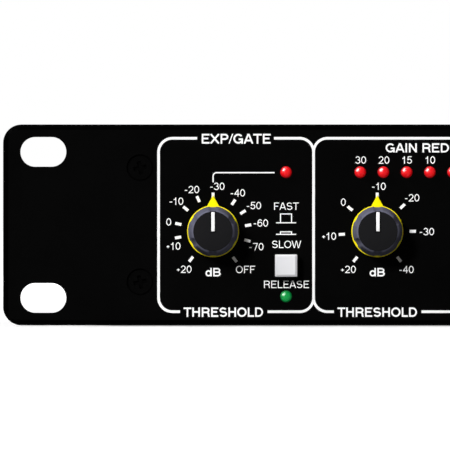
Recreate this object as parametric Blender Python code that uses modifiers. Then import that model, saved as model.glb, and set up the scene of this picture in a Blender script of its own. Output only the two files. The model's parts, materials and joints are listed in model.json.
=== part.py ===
"""Two-channel rack compressor, one rack unit high, for Blender 4.5.

Run it with: blender --background --python part.py

Units are metres and +Z is up. The front panel faces -Y. The origin is the
middle of the width and of the depth, level with the panel's lower edge.

Pieces on the front are modelled in the front face's own frame: x to the
right, y up and z out of the panel, with 0 at the middle of its front face.
Pieces on the rear panel use the same kind of frame, seen from behind.
"""

import math

import bmesh
import bpy
from mathutils import Matrix, Vector

# ---------------------------------------------------------------- fits
SEAT_GAP = 0.0003  # between two pieces that rest on each other
RUN_GAP = 0.0002  # round a shaft or a stem that moves
OVERLAP = 0.0005  # how far fused shapes and cutters reach into each other
SMOOTH_ANGLE = math.radians(35)  # steeper edges stay sharp

# ---------------------------------------------------------------- front panel
PANEL_WIDTH = 0.4826
PANEL_HEIGHT = 0.04366
PANEL_THICKNESS = 0.0030
PANEL_CORNER = 0.0040
PANEL_EDGE = 0.0011  # rounding along the front edge
EAR_WIDTH = 0.0180  # flat that lies on the rack's rail
REBATE = 0.0005  # the back is this much thinner between the ears
SLOT_INSET = 0.00875  # panel's end to the middle of a rack slot
SLOT_SPACING = 0.03175  # upper slot to lower slot
SLOT_LENGTH = 0.0100
SLOT_HEIGHT = 0.0065

# ---------------------------------------------------------------- control layout
MARGIN = 0.03376  # panel's end to the first channel
MASTER_WIDTH = 0.08364  # panel's other end to the second channel's end
KNOB_Y = -0.00139
GATE_KNOB_X = 0.01188  # from the channel's start, as are the next four
THRESHOLD_X = 0.04754
RATIO_X = 0.07548
GATE_BUTTON_X = 0.02773
METER_X = 0.04386
OUTPUT_INSET = 0.02583  # from the channel's end, as is the next one
BYPASS_INSET = 0.00998
BUTTON_Y = -0.00882
LED_ROW_Y = 0.01147
GATE_LED_Y = -0.01553
METER_PITCH = 0.00504
METER_LEDS = 8
SWITCH_INSET = 0.04980  # panel's end to the mains switch
LINK_OFFSET = 0.02386  # mains switch to the link button and the power lamp

# ---------------------------------------------------------------- knobs
KNOB_RADIUS = 0.00545  # at the skirt
KNOB_TOP_RADIUS = 0.00478
KNOB_FACE_RADIUS = 0.00440
KNOB_CHAMFER = 0.0005
KNOB_REACH = 0.0135  # panel face to knob face
FLUTES = 6
FLUTE_RADIUS = 0.0013
FLUTE_DEPTH = 0.00035
FLUTE_STEPS = 8
INDEX_WIDTH = 0.00092
INDEX_LENGTH = 0.0042
INDEX_DEPTH = 0.0004
SKIRT_RADIUS = 0.00570
SKIRT_THICKNESS = 0.0012
SKIRT_LIFT = 0.0006  # clear of the panel
POINTER_TIP = 0.00785
POINTER_SIZE = 0.0030  # from the triangle's middle to a corner
POINTER_STEP = 0.0001  # the pointer is thinner than the ring by this, on each face
SHAFT_RADIUS = 0.0029
SHAFT_DEPTH = 0.0115  # how far it reaches behind the panel's face
KNOB_STEPS = 18
SHAFT_STEPS = 12

# ---------------------------------------------------------------- control board
BOARD_THICKNESS = 0.0016
CONTROL_BOARD_DEPTH = 0.0123  # panel face to the board's front
CONTROL_BOARD_START = 0.0042  # right of the first channel's start
CONTROL_BOARD_END = 0.0072  # right of the link button
CONTROL_BOARD_FOOT = 0.0029  # above the case's underside
CONTROL_BOARD_CROWN = 0.0050  # below the case's top
POT_SIZE = (0.0100, 0.0110, 0.0065)
BUSHING_RADIUS = 0.0036
BUSHING_STEPS = 10
BUSHING_START = 0.0005  # behind the panel's face
PANEL_HOLE_RADIUS = 0.0039

# ---------------------------------------------------------------- lamps
LED_RADIUS = 0.00145
LED_REACH = 0.0013
LED_RIM = 0.0004  # the foot is wider by this
LED_STEPS = 10
HOLDER_WIDTH = 0.0044
HOLDER_END = 0.0024  # from the last lamp to the holder's end

# ---------------------------------------------------------------- push buttons
CAP_SIDE = 0.0049
CAP_REACH = 0.0050
CAP_TAIL = 0.0035  # how far the cap runs behind the panel's face
CAP_EDGE = 0.00035
CAP_PLAY = 0.0003
STEM_SIDE = 0.0030
STEM_DEPTH = 0.0090
BUTTON_TRAVEL = 0.0025
SWITCH_BODY_SIDE = 0.0080
SWITCH_BODY_FRONT = 0.0068  # behind the panel's face

# ---------------------------------------------------------------- mains switch
ROCKER_WIDTH = 0.0104
ROCKER_HEIGHT = 0.0152
ROCKER_FACE = 0.0040  # axle to the bottom of the V
ROCKER_BACK = 0.0022
ROCKER_ANGLE = math.radians(8)
ROCKER_AXLE = 0.0022  # axle's depth behind the panel's face
AXLE_RADIUS = 0.0010
AXLE_LENGTH = 0.0118
SWITCH_CAVITY = (0.0110, 0.0172)
SWITCH_BODY = (0.0132, 0.0192, 0.0200)
SWITCH_BEZEL = (0.0150, 0.0212, 0.0018)
SWITCH_CAVITY_DEPTH = 0.0085
BEZEL_CORNER = 0.0012

# ---------------------------------------------------------------- case
CASE_SETBACK = 0.0213  # panel's end to the case's side
CASE_SHY = 0.00083  # the case is lower than the panel by this, above and below
CASE_DEPTH = 0.1750  # panel's front face to the rear panel's outer face
SHEET = 0.0012
BEND_RADIUS = 0.0016
COVER_LIP = 0.0120
FLANGE_WIDTH = 0.0160
REAR_FLANGE = 0.0090
STANDOFF_HEIGHT = 0.0060
STANDOFF_RADIUS = 0.0030
VENT_WIDTH = 0.0026
VENT_LENGTH = 0.0280
VENT_PITCH = 0.0085
VENTS_PER_ROW = 8
VENT_ROW_PITCH = 0.0360
SIDE_VENT_LENGTH = 0.0120
SIDE_VENTS = 4
SIDE_VENT_START = 0.0500

# ---------------------------------------------------------------- panel screws
SCREW_INSET = 0.00848  # case's side to the screws
SCREW_Y = 0.0124
SCREW_HEAD_RADIUS = 0.00265
SCREW_RIM = 0.0002  # straight edge of the head
SCREW_SUNK = 0.0003  # head's face below the panel's
SCREW_RADIUS = 0.0015
SCREW_LENGTH = 0.0080
RECESS_LENGTH = 0.0028
RECESS_WIDTH = 0.0008
RECESS_DEPTH = 0.0011
SCREW_STEPS = 12

# ---------------------------------------------------------------- main board
MAIN_BOARD_INSET = 0.0150  # case's side to the board
MAIN_BOARD_FRONT = 0.0260  # behind the panel's face
MAIN_BOARD_REAR = 0.1430
STANDOFF_INSET = 0.0060
SUPPLY_INSET = 0.0200  # board's right edge to the capacitors
SUPPLY_FRONT = 0.0300  # board's front edge to the first capacitor
SUPPLY_PITCH = 0.0280
CAPACITOR = (0.0110, 0.0250)  # radius and height
HEATSINK = (0.0040, 0.0180, 0.0220)
HEATSINK_INSET = 0.0440
CIRCUIT_INSET = 0.0300  # board's left edge to the first amplifier
CIRCUIT_PITCH = (0.0480, 0.0450)
CIRCUIT_COUNT = (4, 2)
CHIP = (0.0100, 0.0064, 0.0042)
COUPLING = (0.0032, 0.0090)  # radius and height of the capacitor by each chip
COUPLING_OFFSET = 0.0130
HEADER_INSET = 0.0070

# ---------------------------------------------------------------- transformer
TORUS_INSET = 0.0620  # case's side to the middle of the ring
TORUS_CLEARANCE = 0.0160  # ring to the main board
TORUS_DEPTH = 0.0820
TORUS_RADIUS = 0.0400
TORUS_HOLE = 0.0140
TORUS_HEIGHT = 0.0280
TORUS_EDGE = 0.0060
TORUS_STEPS = 24
CLAMP_RADIUS = 0.0240
CLAMP_THICKNESS = 0.0015
CLAMP_BOLT = 0.0030
CLAMP_NUT = (0.0050, 0.0030)  # radius and height

# ---------------------------------------------------------------- rear panel
REAR_CHANNEL_INSET = 0.0300  # case's side to the first channel's jack
REAR_CHANNEL_PITCH = 0.1600
OUTPUT_OFFSET = 0.0320
INPUT_OFFSET = 0.0680
INLET_INSET = 0.0350  # case's side to the middle of the inlet
XLR_WIDTH = 0.0260
XLR_HEIGHT = 0.0310
XLR_CORNER = 0.0025
XLR_FLANGE = 0.0020
XLR_BARREL = 0.0118
XLR_DEPTH = 0.0220
XLR_MOUTH = 0.0097
XLR_INSERT = 0.0075
XLR_CAVITY = 0.0150
XLR_PIN_CIRCLE = 0.0047
XLR_PIN_RADIUS = 0.00115
XLR_STEPS = 20
KEY_WIDTH = 0.0032
KEY_DEPTH = 0.0012
KEY_LENGTH = 0.0075
PIN_SHY = 0.0020  # pins end this far inside the flange's face
LATCH_TAB = (0.0080, 0.0032, 0.0012)
LATCH_STEM = (0.0040, 0.0011, 0.0070)
LATCH_TRAVEL = 0.0012
LATCH_EDGE = 0.0004
JACK_NOSE = 0.0046
JACK_BORE = 0.0032
JACK_NUT = 0.0066
JACK_NUT_THICKNESS = 0.0022
NUT_CHAMFER = 0.0005
JACK_BODY = (0.0140, 0.0130, 0.0240)
JACK_BORE_DEPTH = 0.0220
INLET_FLANGE = (0.0500, 0.0310, 0.0030)
INLET_BODY = (0.0272, 0.0296, 0.0240)
INLET_MOUTH = (0.0244, 0.0168)
INLET_MOUTH_Y = -0.0040
INLET_MOUTH_DEPTH = 0.0170
INLET_PIN = (0.0020, 0.0040, 0.0155)
INLET_PIN_X = 0.0070
INLET_PIN_Y = 0.0020
DRAWER = (0.0190, 0.0064, 0.0180)
DRAWER_Y = 0.0098
DRAWER_LIP = (0.0210, 0.0080, 0.0016)
LIP_CORNER = 0.0010
INLET_CORNER = 0.0040
INLET_CUT = 0.0045  # cut-off upper corners of the mouth

# ---------------------------------------------------------------- inner wiring
RIBBON_WIDTH = 0.0330
RIBBON_THICKNESS = 0.0009
HEADER_HEIGHT = 0.0070
HEADER_DEPTH = 0.0060
HEADER_CHEEK = 0.0010  # the header is wider than the cable by this, each side
CABLE_RADIUS = 0.0030
CABLE_CLEARANCE = 0.0035  # to the wall and the floor
CABLE_LEAD = 0.0100  # straight stretch at each end
CABLE_SWEEP = 0.0360  # where it reaches the wall

# ---------------------------------------------------------------- derived places
MID_Z = PANEL_HEIGHT / 2
REAR_REACH = INLET_FLANGE[2] + DRAWER_LIP[2] + 2 * SEAT_GAP
FRONT_Y = KNOB_REACH - (KNOB_REACH + CASE_DEPTH + REAR_REACH) / 2
REAR_Y = FRONT_Y + CASE_DEPTH
PANEL_BACK = PANEL_THICKNESS - REBATE  # between the ears
CASE_WIDTH = PANEL_WIDTH - 2 * CASE_SETBACK
CASE_HEIGHT = PANEL_HEIGHT - 2 * CASE_SHY
HALF_CASE = CASE_WIDTH / 2
CASE_FRONT = PANEL_BACK + SEAT_GAP
SCREW_X = HALF_CASE - SCREW_INSET
TORUS_X = HALF_CASE - TORUS_INSET
INLET_X = HALF_CASE - INLET_INSET
REAR_CHANNEL_X = REAR_CHANNEL_INSET - HALF_CASE
MAIN_BOARD_LEFT = MAIN_BOARD_INSET - HALF_CASE
MAIN_BOARD_RIGHT = TORUS_X - TORUS_RADIUS - TORUS_CLEARANCE
RIBBON_X = (MAIN_BOARD_LEFT + MAIN_BOARD_RIGHT) / 2
CASE_BOTTOM = -CASE_HEIGHT / 2
FLOOR = CASE_BOTTOM + SHEET
COVER_UNDER = CASE_HEIGHT / 2 - SHEET
WALL_TOP = COVER_UNDER - SEAT_GAP
HALF_PANEL = PANEL_WIDTH / 2
CHANNEL_PITCH = (PANEL_WIDTH - MARGIN - MASTER_WIDTH) / 2
CHANNEL_START = MARGIN - HALF_PANEL
CHANNELS = (("1", CHANNEL_START), ("2", CHANNEL_START + CHANNEL_PITCH))
OUTPUT_X = CHANNEL_PITCH - OUTPUT_INSET
BYPASS_X = CHANNEL_PITCH - BYPASS_INSET
TIMING_PITCH = (OUTPUT_X - RATIO_X) / 3  # attack and release lie evenly between
KNOB_X = {
    "gate_threshold": GATE_KNOB_X,
    "threshold": THRESHOLD_X,
    "ratio": RATIO_X,
    "attack": RATIO_X + TIMING_PITCH,
    "release_time": RATIO_X + 2 * TIMING_PITCH,
    "output": OUTPUT_X,
}
SWITCH_X = HALF_PANEL - SWITCH_INSET
LINK_X = SWITCH_X - LINK_OFFSET
MAIN_BOARD_Z = FLOOR + STANDOFF_HEIGHT + SEAT_GAP
SKIRT_TOP = SKIRT_LIFT + SKIRT_THICKNESS
CAP_HOLE = CAP_SIDE + 2 * CAP_PLAY
LATCH_Y = XLR_MOUTH + RUN_GAP  # lower edge of the tab and of its stem


# ---------------------------------------------------------------- scene helpers
def clear_scene():
    """Removes the objects that are there and makes the two collections."""
    for obj in list(bpy.data.objects):
        bpy.data.objects.remove(obj)
    made = []
    for name in ("rack_compressor", "cutters"):
        collection = bpy.data.collections.new(name)
        bpy.context.scene.collection.children.link(collection)
        made.append(collection)
    made[1].hide_render = True
    return made


PARTS, CUTTERS = clear_scene()


def finish(name, colour, roughness, metallic=0.0):
    """A Principled material of one colour."""
    material = bpy.data.materials.new(name)
    material.use_nodes = True
    shader = material.node_tree.nodes["Principled BSDF"]
    shader.inputs["Base Color"].default_value = (*colour, 1.0)
    shader.inputs["Roughness"].default_value = roughness
    shader.inputs["Metallic"].default_value = metallic
    material.diffuse_color = (*colour, 1.0)
    return material


BLACK_PAINT = finish("black_paint", (0.003, 0.003, 0.003), 0.45)
CASE_PAINT = finish("case_paint", (0.012, 0.012, 0.013), 0.6)
KNOB_BLACK = finish("knob_black", (0.016, 0.016, 0.018), 0.5)
SKIRT_YELLOW = finish("skirt_yellow", (1.0, 0.85, 0.0), 0.4)
BUTTON_WHITE = finish("button_white", (0.76, 0.76, 0.78), 0.4)
LED_RED = finish("led_red", (0.85, 0.01, 0.015), 0.15)
LED_GREEN = finish("led_green", (0.0, 0.38, 0.08), 0.15)
SCREW_BLACK = finish("screw_black", (0.01, 0.01, 0.01), 0.35, 0.8)
BOARD_GREEN = finish("board_green", (0.01, 0.13, 0.05), 0.5)
MOULDING = finish("moulding", (0.02, 0.02, 0.02), 0.5)
NICKEL = finish("nickel", (0.6, 0.6, 0.58), 0.3, 1.0)
WINDING = finish("winding", (0.75, 0.5, 0.05), 0.5)
STEEL = finish("steel", (0.55, 0.55, 0.55), 0.4, 1.0)
RIBBON_GREY = finish("ribbon_grey", (0.5, 0.5, 0.52), 0.6)


def empty(name, location, rotation=(0.0, 0.0, 0.0), parent=None):
    """A frame for other objects to stand in."""
    obj = bpy.data.objects.new(name, None)
    PARTS.objects.link(obj)
    obj.location = location
    obj.rotation_euler = rotation
    obj.parent = parent
    return obj


def place(name, mesh, material, parent=None, location=(0.0, 0.0, 0.0)):
    """A node: an object with this mesh and material in the part's collection."""
    obj = bpy.data.objects.new(name, mesh)
    PARTS.objects.link(obj)
    obj.parent = parent
    obj.location = location
    if not mesh.materials:
        mesh.materials.append(material)
    return obj


def tool(name, mesh, parent, location=(0.0, 0.0, 0.0)):
    """A helper shape for a Boolean, which isn't a piece of the object."""
    obj = bpy.data.objects.new(name, mesh)
    CUTTERS.objects.link(obj)
    obj.parent = parent
    obj.location = location
    obj.hide_render = True
    obj.display_type = "WIRE"
    return obj


def combine(obj, operation, mesh):
    """Cuts a mesh, given in the object's own frame, out of it or joins it on."""
    helper = tool(f"{obj.name}_{operation.lower()}_{len(obj.modifiers)}", mesh, obj)
    modifier = obj.modifiers.new(operation.title(), "BOOLEAN")
    modifier.operation = operation
    modifier.object = helper
    modifier.solver = "EXACT"
    return obj


def cut(obj, mesh):
    """Takes the mesh out of the object."""
    return combine(obj, "DIFFERENCE", mesh)


def join(obj, mesh):
    """Adds the mesh to the object as one body."""
    return combine(obj, "UNION", mesh)


def applied(obj):
    """The object's mesh with its modifiers applied, whose helper shapes are removed."""
    bpy.context.view_layer.update()
    graph = bpy.context.evaluated_depsgraph_get()
    mesh = bpy.data.meshes.new_from_object(obj.evaluated_get(graph))
    mesh.shade_smooth()
    mesh.set_sharp_from_angle(angle=SMOOTH_ANGLE)
    helpers = [m.object for m in obj.modifiers if m.type == "BOOLEAN"]
    obj.modifiers.clear()
    for helper in helpers:
        bpy.data.objects.remove(helper)
    return mesh


def baked(obj):
    """The applied mesh of an object that isn't needed itself."""
    mesh = applied(obj)
    bpy.data.objects.remove(obj)
    return mesh


def settle(parts):
    """Applies what is left of the modifiers, so that every piece shades cleanly."""
    for obj in [obj for obj in parts.objects if obj.modifiers]:
        obj.data = applied(obj)


# ---------------------------------------------------------------- shapes
def to_mesh(name, bm):
    """Ends a bmesh as a mesh that is smooth with sharp edges kept."""
    bmesh.ops.recalc_face_normals(bm, faces=bm.faces)
    mesh = bpy.data.meshes.new(name)
    bm.to_mesh(mesh)
    bm.free()
    mesh.shade_smooth()
    mesh.set_sharp_from_angle(angle=SMOOTH_ANGLE)
    return mesh


def add_box(bm, low, high, corner=0.0, segments=4, axis=2):
    """A box between two corners; its edges along one axis can be rounded."""
    low, high = Vector(low), Vector(high)
    size = high - low
    matrix = Matrix.Translation((low + high) / 2) @ Matrix.Diagonal((*size, 1.0))
    verts = bmesh.ops.create_cube(bm, size=1.0, matrix=matrix)["verts"]
    if corner:
        edges = {e for v in verts for e in v.link_edges}
        along = [
            e
            for e in edges
            if abs((e.verts[0].co - e.verts[1].co)[axis]) > 0.9 * size[axis]
        ]
        bmesh.ops.bevel(
            bm,
            geom=along,
            offset=corner,
            segments=segments,
            profile=0.5,
            affect="EDGES",
            material=-1,
        )


def add_cylinder(bm, centre, radius, low, high, steps=16, tip_radius=None):
    """An upright cylinder, or a cone when a radius for its upper end is given."""
    top = radius if tip_radius is None else tip_radius
    bmesh.ops.create_cone(
        bm,
        cap_ends=True,
        segments=steps,
        radius1=radius,
        radius2=top,
        depth=high - low,
        matrix=Matrix.Translation((centre[0], centre[1], (low + high) / 2)),
    )


def box(low, high, corner=0.0, segments=4, axis=2):
    """The mesh of one box."""
    bm = bmesh.new()
    add_box(bm, low, high, corner, segments, axis)
    return to_mesh("box", bm)


def turned(points, steps, closed=False):
    """A turned mesh about Z from points (radius, height), which run down its outside.

    A closed profile is a ring's cross-section.
    """
    mesh = bpy.data.meshes.new("profile")
    count = len(points)
    edges = [(i, (i + 1) % count) for i in range(count if closed else count - 1)]
    mesh.from_pydata([(r, 0.0, z) for r, z in points], edges, [])
    obj = bpy.data.objects.new("profile", mesh)
    CUTTERS.objects.link(obj)
    screw = obj.modifiers.new("Turn", "SCREW")
    screw.steps = steps
    screw.render_steps = steps
    screw.use_merge_vertices = True
    screw.merge_threshold = 0.00001
    screw.use_smooth_shade = False
    made = baked(obj)
    bpy.data.meshes.remove(mesh)
    bm = bmesh.new()
    bm.from_mesh(made)
    bpy.data.meshes.remove(made)
    return to_mesh("turned", bm)


def gathered(meshes):
    """One mesh from several that don't touch, each given with its matrix."""
    bm = bmesh.new()
    for mesh, matrix in meshes:
        copy = mesh.copy()
        copy.transform(matrix)
        bm.from_mesh(copy)
        bpy.data.meshes.remove(copy)
    return to_mesh("gathered", bm)


def at(x=0.0, y=0.0, z=0.0):
    """A matrix that only moves."""
    return Matrix.Translation((x, y, z))


# ---------------------------------------------------------------- layout helpers
def knob_places():
    """(name, x) of every knob, in the front face's frame."""
    return [
        (f"{control}_{channel}", left + x)
        for channel, left in CHANNELS
        for control, x in KNOB_X.items()
    ]


def button_places():
    """(name, x) of every push button."""
    found = []
    for channel, left in CHANNELS:
        found.append((f"gate_release_button_{channel}", left + GATE_BUTTON_X))
        found.append((f"bypass_button_{channel}", left + BYPASS_X))
    return found + [("link_button", LINK_X)]


def screw_places():
    """(x, y) of the four panel screws."""
    return [(sx * SCREW_X, sy * SCREW_Y) for sx in (-1, 1) for sy in (-1, 1)]


def row_lamps(left):
    """x of the lamps in a channel's upper row: the gate's, then the meter's."""
    meter = [left + METER_X + i * METER_PITCH for i in range(METER_LEDS)]
    return [left + GATE_BUTTON_X] + meter


def single_lamps():
    """(name, x, y) of the lamps that stand alone."""
    gates = [
        (f"gate_led_{channel}", left + GATE_BUTTON_X, GATE_LED_Y)
        for channel, left in CHANNELS
    ]
    return gates + [("power_led", LINK_X, LED_ROW_Y)]


# ---------------------------------------------------------------- front panel
def screw_profile(clearance, top, bottom):
    """Profile of a countersunk screw, wider by the clearance, in the front's frame."""
    head = SCREW_HEAD_RADIUS + clearance
    shank = SCREW_RADIUS + clearance
    rim = -SCREW_SUNK - SCREW_RIM
    neck = rim - (head - shank)  # the cone is 90 degrees
    return [(0, top), (head, top), (head, rim), (shank, neck), (shank, bottom), (0, bottom)]


def front_panel(front):
    """Aluminium panel with its rack slots and the holes for the controls."""
    half = (HALF_PANEL, PANEL_HEIGHT / 2)
    bm = bmesh.new()
    add_box(bm, (-half[0], -half[1], -PANEL_THICKNESS), (*half, 0.0), PANEL_CORNER, 4)
    rim = [e for e in bm.edges if all(abs(v.co.z) < 1e-6 for v in e.verts)]
    bmesh.ops.bevel(
        bm,
        geom=rim,
        offset=PANEL_EDGE,
        segments=2,
        profile=0.5,
        affect="EDGES",
        material=-1,
    )
    panel = place("front_panel", to_mesh("front_panel", bm), BLACK_PAINT, front)

    holes = bmesh.new()
    back, out = -PANEL_THICKNESS - OVERLAP, OVERLAP
    for sx in (-1, 1):
        for sy in (-1, 1):
            x, y = sx * (HALF_PANEL - SLOT_INSET), sy * SLOT_SPACING / 2
            w, h = SLOT_LENGTH / 2, SLOT_HEIGHT / 2
            add_box(holes, (x - w, y - h, back), (x + w, y + h, out), 0.98 * h, 3)
    for _, x in knob_places():
        add_cylinder(holes, (x, KNOB_Y), PANEL_HOLE_RADIUS, back, out, BUSHING_STEPS)
    lamps = [(x, y) for _, x, y in single_lamps()]
    lamps += [(x, LED_ROW_Y) for _, left in CHANNELS for x in row_lamps(left)]
    for centre in lamps:
        add_cylinder(holes, centre, LED_RADIUS + RUN_GAP, back, out, LED_STEPS)
    c = CAP_HOLE / 2
    for _, x in button_places():
        add_box(holes, (x - c, BUTTON_Y - c, back), (x + c, BUTTON_Y + c, out))
    w, h = SWITCH_BODY[0] / 2 + SEAT_GAP, SWITCH_BODY[1] / 2 + SEAT_GAP
    add_box(
        holes, (SWITCH_X - w, KNOB_Y - h, back), (SWITCH_X + w, KNOB_Y + h, out)
    )
    cut(panel, to_mesh("panel_holes", holes))

    sink = turned(screw_profile(SEAT_GAP, out, back), SCREW_STEPS)
    cut(panel, gathered([(sink, at(x, y)) for x, y in screw_places()]))

    w = HALF_PANEL - EAR_WIDTH
    h = PANEL_HEIGHT / 2 + OVERLAP
    cut(panel, box((-w, -h, back), (w, h, -PANEL_BACK)))


def panel_screws(front):
    """Four countersunk cross-head screws that hold the panel to the case."""
    body = turned(screw_profile(0.0, -SCREW_SUNK, -SCREW_LENGTH), SCREW_STEPS)
    screw = place("screw", body, SCREW_BLACK)
    length, width = RECESS_LENGTH / 2, RECESS_WIDTH / 2
    floor = -SCREW_SUNK - RECESS_DEPTH
    for w, h in ((length, width), (width, length)):
        cut(screw, box((-w, -h, floor), (w, h, OVERLAP)))
    mesh = baked(screw)
    for number, (x, y) in enumerate(screw_places(), 1):
        place(f"panel_screw_{number}", mesh, SCREW_BLACK, front, (x, y, 0))


# ---------------------------------------------------------------- knobs
def knob_mesh():
    """Tapered knob with six grip flutes and an index groove, on its shaft."""
    base = SKIRT_TOP + SEAT_GAP
    profile = [
        (0, KNOB_REACH),
        (KNOB_FACE_RADIUS, KNOB_REACH),
        (KNOB_TOP_RADIUS, KNOB_REACH - KNOB_CHAMFER),
        (KNOB_RADIUS, base),
        (0, base),
    ]
    knob = place("knob", turned(profile, KNOB_STEPS), KNOB_BLACK)
    shaft = bmesh.new()
    add_cylinder(shaft, (0, 0), SHAFT_RADIUS, -SHAFT_DEPTH, base + OVERLAP, SHAFT_STEPS)
    join(knob, to_mesh("shaft", shaft))

    # The flutes lean with the side, so that their depth stays the same.
    height = KNOB_REACH - base
    lean = math.atan((KNOB_RADIUS - KNOB_TOP_RADIUS) / height)
    reach = KNOB_RADIUS + FLUTE_RADIUS - FLUTE_DEPTH
    flute = bmesh.new()
    add_cylinder(flute, (0, 0), FLUTE_RADIUS, -OVERLAP, height + OVERLAP, FLUTE_STEPS)
    rod = to_mesh("flute", flute)
    flutes = []
    for i in range(FLUTES):
        turn = Matrix.Rotation(math.pi / 2 + i * math.tau / FLUTES, 4, "Z")
        tilt = Matrix.Rotation(-lean, 4, "Y")
        flutes.append((rod, turn @ at(reach, 0, base) @ tilt))
    cut(knob, gathered(flutes))

    half = INDEX_WIDTH / 2
    cut(
        knob,
        box(
            (-half, 0, KNOB_REACH - INDEX_DEPTH),
            (half, INDEX_LENGTH, KNOB_REACH + OVERLAP),
        ),
    )
    return baked(knob)


def skirt_mesh():
    """Ring under the knob with a pointer that ends in a point on the dial."""
    ring = bmesh.new()
    add_cylinder(ring, (0, 0), SKIRT_RADIUS, SKIRT_LIFT, SKIRT_TOP, KNOB_STEPS)
    skirt = place("skirt", to_mesh("ring", ring), SKIRT_YELLOW)
    pointer = bmesh.new()
    centre = (0, POINTER_TIP - POINTER_SIZE)
    low, high = SKIRT_LIFT + POINTER_STEP, SKIRT_TOP - POINTER_STEP
    add_cylinder(pointer, centre, POINTER_SIZE, low, high, 3)
    join(skirt, to_mesh("pointer", pointer))
    hole = bmesh.new()
    radius = SHAFT_RADIUS + RUN_GAP
    add_cylinder(hole, (0, 0), radius, 0, SKIRT_TOP + OVERLAP, SHAFT_STEPS)
    cut(skirt, to_mesh("hole", hole))
    return baked(skirt)


def knobs(front):
    """Every knob with its skirt, each pair on an empty on its own axis."""
    knob, skirt = knob_mesh(), skirt_mesh()
    for name, x in knob_places():
        axis = empty(f"{name}_axis", (x, KNOB_Y, 0), parent=front)
        place(f"{name}_knob", knob, KNOB_BLACK, axis)
        place(f"{name}_skirt", skirt, SKIRT_YELLOW, axis)


# ---------------------------------------------------------------- lamps and buttons
def led_dome():
    """Profile of a lamp's round end, from its tip to its widest."""
    centre = LED_REACH - LED_RADIUS
    angles = [math.radians(a) for a in (40, 0)]
    arc = [(LED_RADIUS * math.cos(a), centre + LED_RADIUS * math.sin(a)) for a in angles]
    return [(0, LED_REACH), *arc]


def led_mesh():
    """A lamp: a dome on a round body, whose foot runs back to the board."""
    back = -CONTROL_BOARD_DEPTH + SEAT_GAP
    flange = -PANEL_BACK - SEAT_GAP
    foot = LED_RADIUS + LED_RIM
    profile = [*led_dome(), (LED_RADIUS, flange), (foot, flange), (foot, back), (0, back)]
    return turned(profile, LED_STEPS)


def lamps(front):
    """A holder bar with a channel's upper row of lamps, and the single lamps."""
    led = led_mesh()
    for name, x, y in single_lamps():
        material = LED_GREEN
        place(name, led, material, front, (x, y, 0))
    back = -CONTROL_BOARD_DEPTH + SEAT_GAP
    flange = -PANEL_BACK - SEAT_GAP
    dome = turned([*led_dome(), (LED_RADIUS, flange - OVERLAP), (0, flange - OVERLAP)], LED_STEPS)
    for channel, left in CHANNELS:
        places = row_lamps(left)
        bar = box(
            (places[0] - HOLDER_END, LED_ROW_Y - HOLDER_WIDTH / 2, back),
            (places[-1] + HOLDER_END, LED_ROW_Y + HOLDER_WIDTH / 2, flange),
        )
        holder = place(f"led_row_{channel}", bar, LED_RED, front)
        join(holder, gathered([(dome, at(x, LED_ROW_Y)) for x in places]))


def button_mesh():
    """A square cap with eased edges on the stem that works its switch."""
    bm = bmesh.new()
    c = CAP_SIDE / 2
    add_box(bm, (-c, -c, -CAP_TAIL), (c, c, CAP_REACH))
    face = [e for e in bm.edges if all(v.co.z > 0 for v in e.verts)]
    sides = [e for e in bm.edges if abs(e.verts[0].co.z - e.verts[1].co.z) > CAP_TAIL]
    bmesh.ops.bevel(
        bm,
        geom=face + sides,
        offset=CAP_EDGE,
        segments=1,
        profile=0.5,
        affect="EDGES",
        material=-1,
    )
    cap = place("cap", to_mesh("cap", bm), BUTTON_WHITE)
    s = STEM_SIDE / 2
    join(cap, box((-s, -s, -STEM_DEPTH), (s, s, -CAP_TAIL + OVERLAP)))
    return baked(cap)


def buttons(front):
    """The push buttons, each with its origin on its slide."""
    mesh = button_mesh()
    for name, x in button_places():
        place(name, mesh, BUTTON_WHITE, front, (x, BUTTON_Y, 0))


# ---------------------------------------------------------------- control board
def control_board(front):
    """Upright board behind the panel with its potentiometers and switches."""
    face = -CONTROL_BOARD_DEPTH
    sheet = box(
        (
            CHANNEL_START + CONTROL_BOARD_START,
            CASE_BOTTOM + CONTROL_BOARD_FOOT,
            face - BOARD_THICKNESS,
        ),
        (LINK_X + CONTROL_BOARD_END, CASE_HEIGHT / 2 - CONTROL_BOARD_CROWN, face),
    )
    board = place("control_board", sheet, BOARD_GREEN, front)

    bodies, bushings, bores = bmesh.new(), bmesh.new(), bmesh.new()
    w, h = POT_SIZE[0] / 2, POT_SIZE[1] / 2
    pot_front = face + POT_SIZE[2]
    for _, x in knob_places():
        add_box(
            bodies, (x - w, KNOB_Y - h, face - OVERLAP), (x + w, KNOB_Y + h, pot_front)
        )
        centre = (x, KNOB_Y)
        low = pot_front - OVERLAP
        add_cylinder(bushings, centre, BUSHING_RADIUS, low, -BUSHING_START, BUSHING_STEPS)
        radius, low = SHAFT_RADIUS + RUN_GAP, -SHAFT_DEPTH - SEAT_GAP
        add_cylinder(bores, centre, radius, low, OVERLAP, SHAFT_STEPS)
    s, b = SWITCH_BODY_SIDE / 2, STEM_SIDE / 2 + RUN_GAP
    end = -STEM_DEPTH - BUTTON_TRAVEL - SEAT_GAP
    for _, x in button_places():
        y = BUTTON_Y
        add_box(
            bodies, (x - s, y - s, face - OVERLAP), (x + s, y + s, -SWITCH_BODY_FRONT)
        )
        add_box(bores, (x - b, y - b, end), (x + b, y + b, -SWITCH_BODY_FRONT + OVERLAP))
    back = face - BOARD_THICKNESS
    x, w = RIBBON_X, RIBBON_WIDTH / 2
    add_box(
        bodies,
        (x - w, -HEADER_HEIGHT / 2, back - HEADER_DEPTH),
        (x + w, HEADER_HEIGHT / 2, back + OVERLAP),
    )
    join(board, to_mesh("bodies", bodies))
    join(board, to_mesh("bushings", bushings))
    cut(board, to_mesh("bores", bores))


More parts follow.
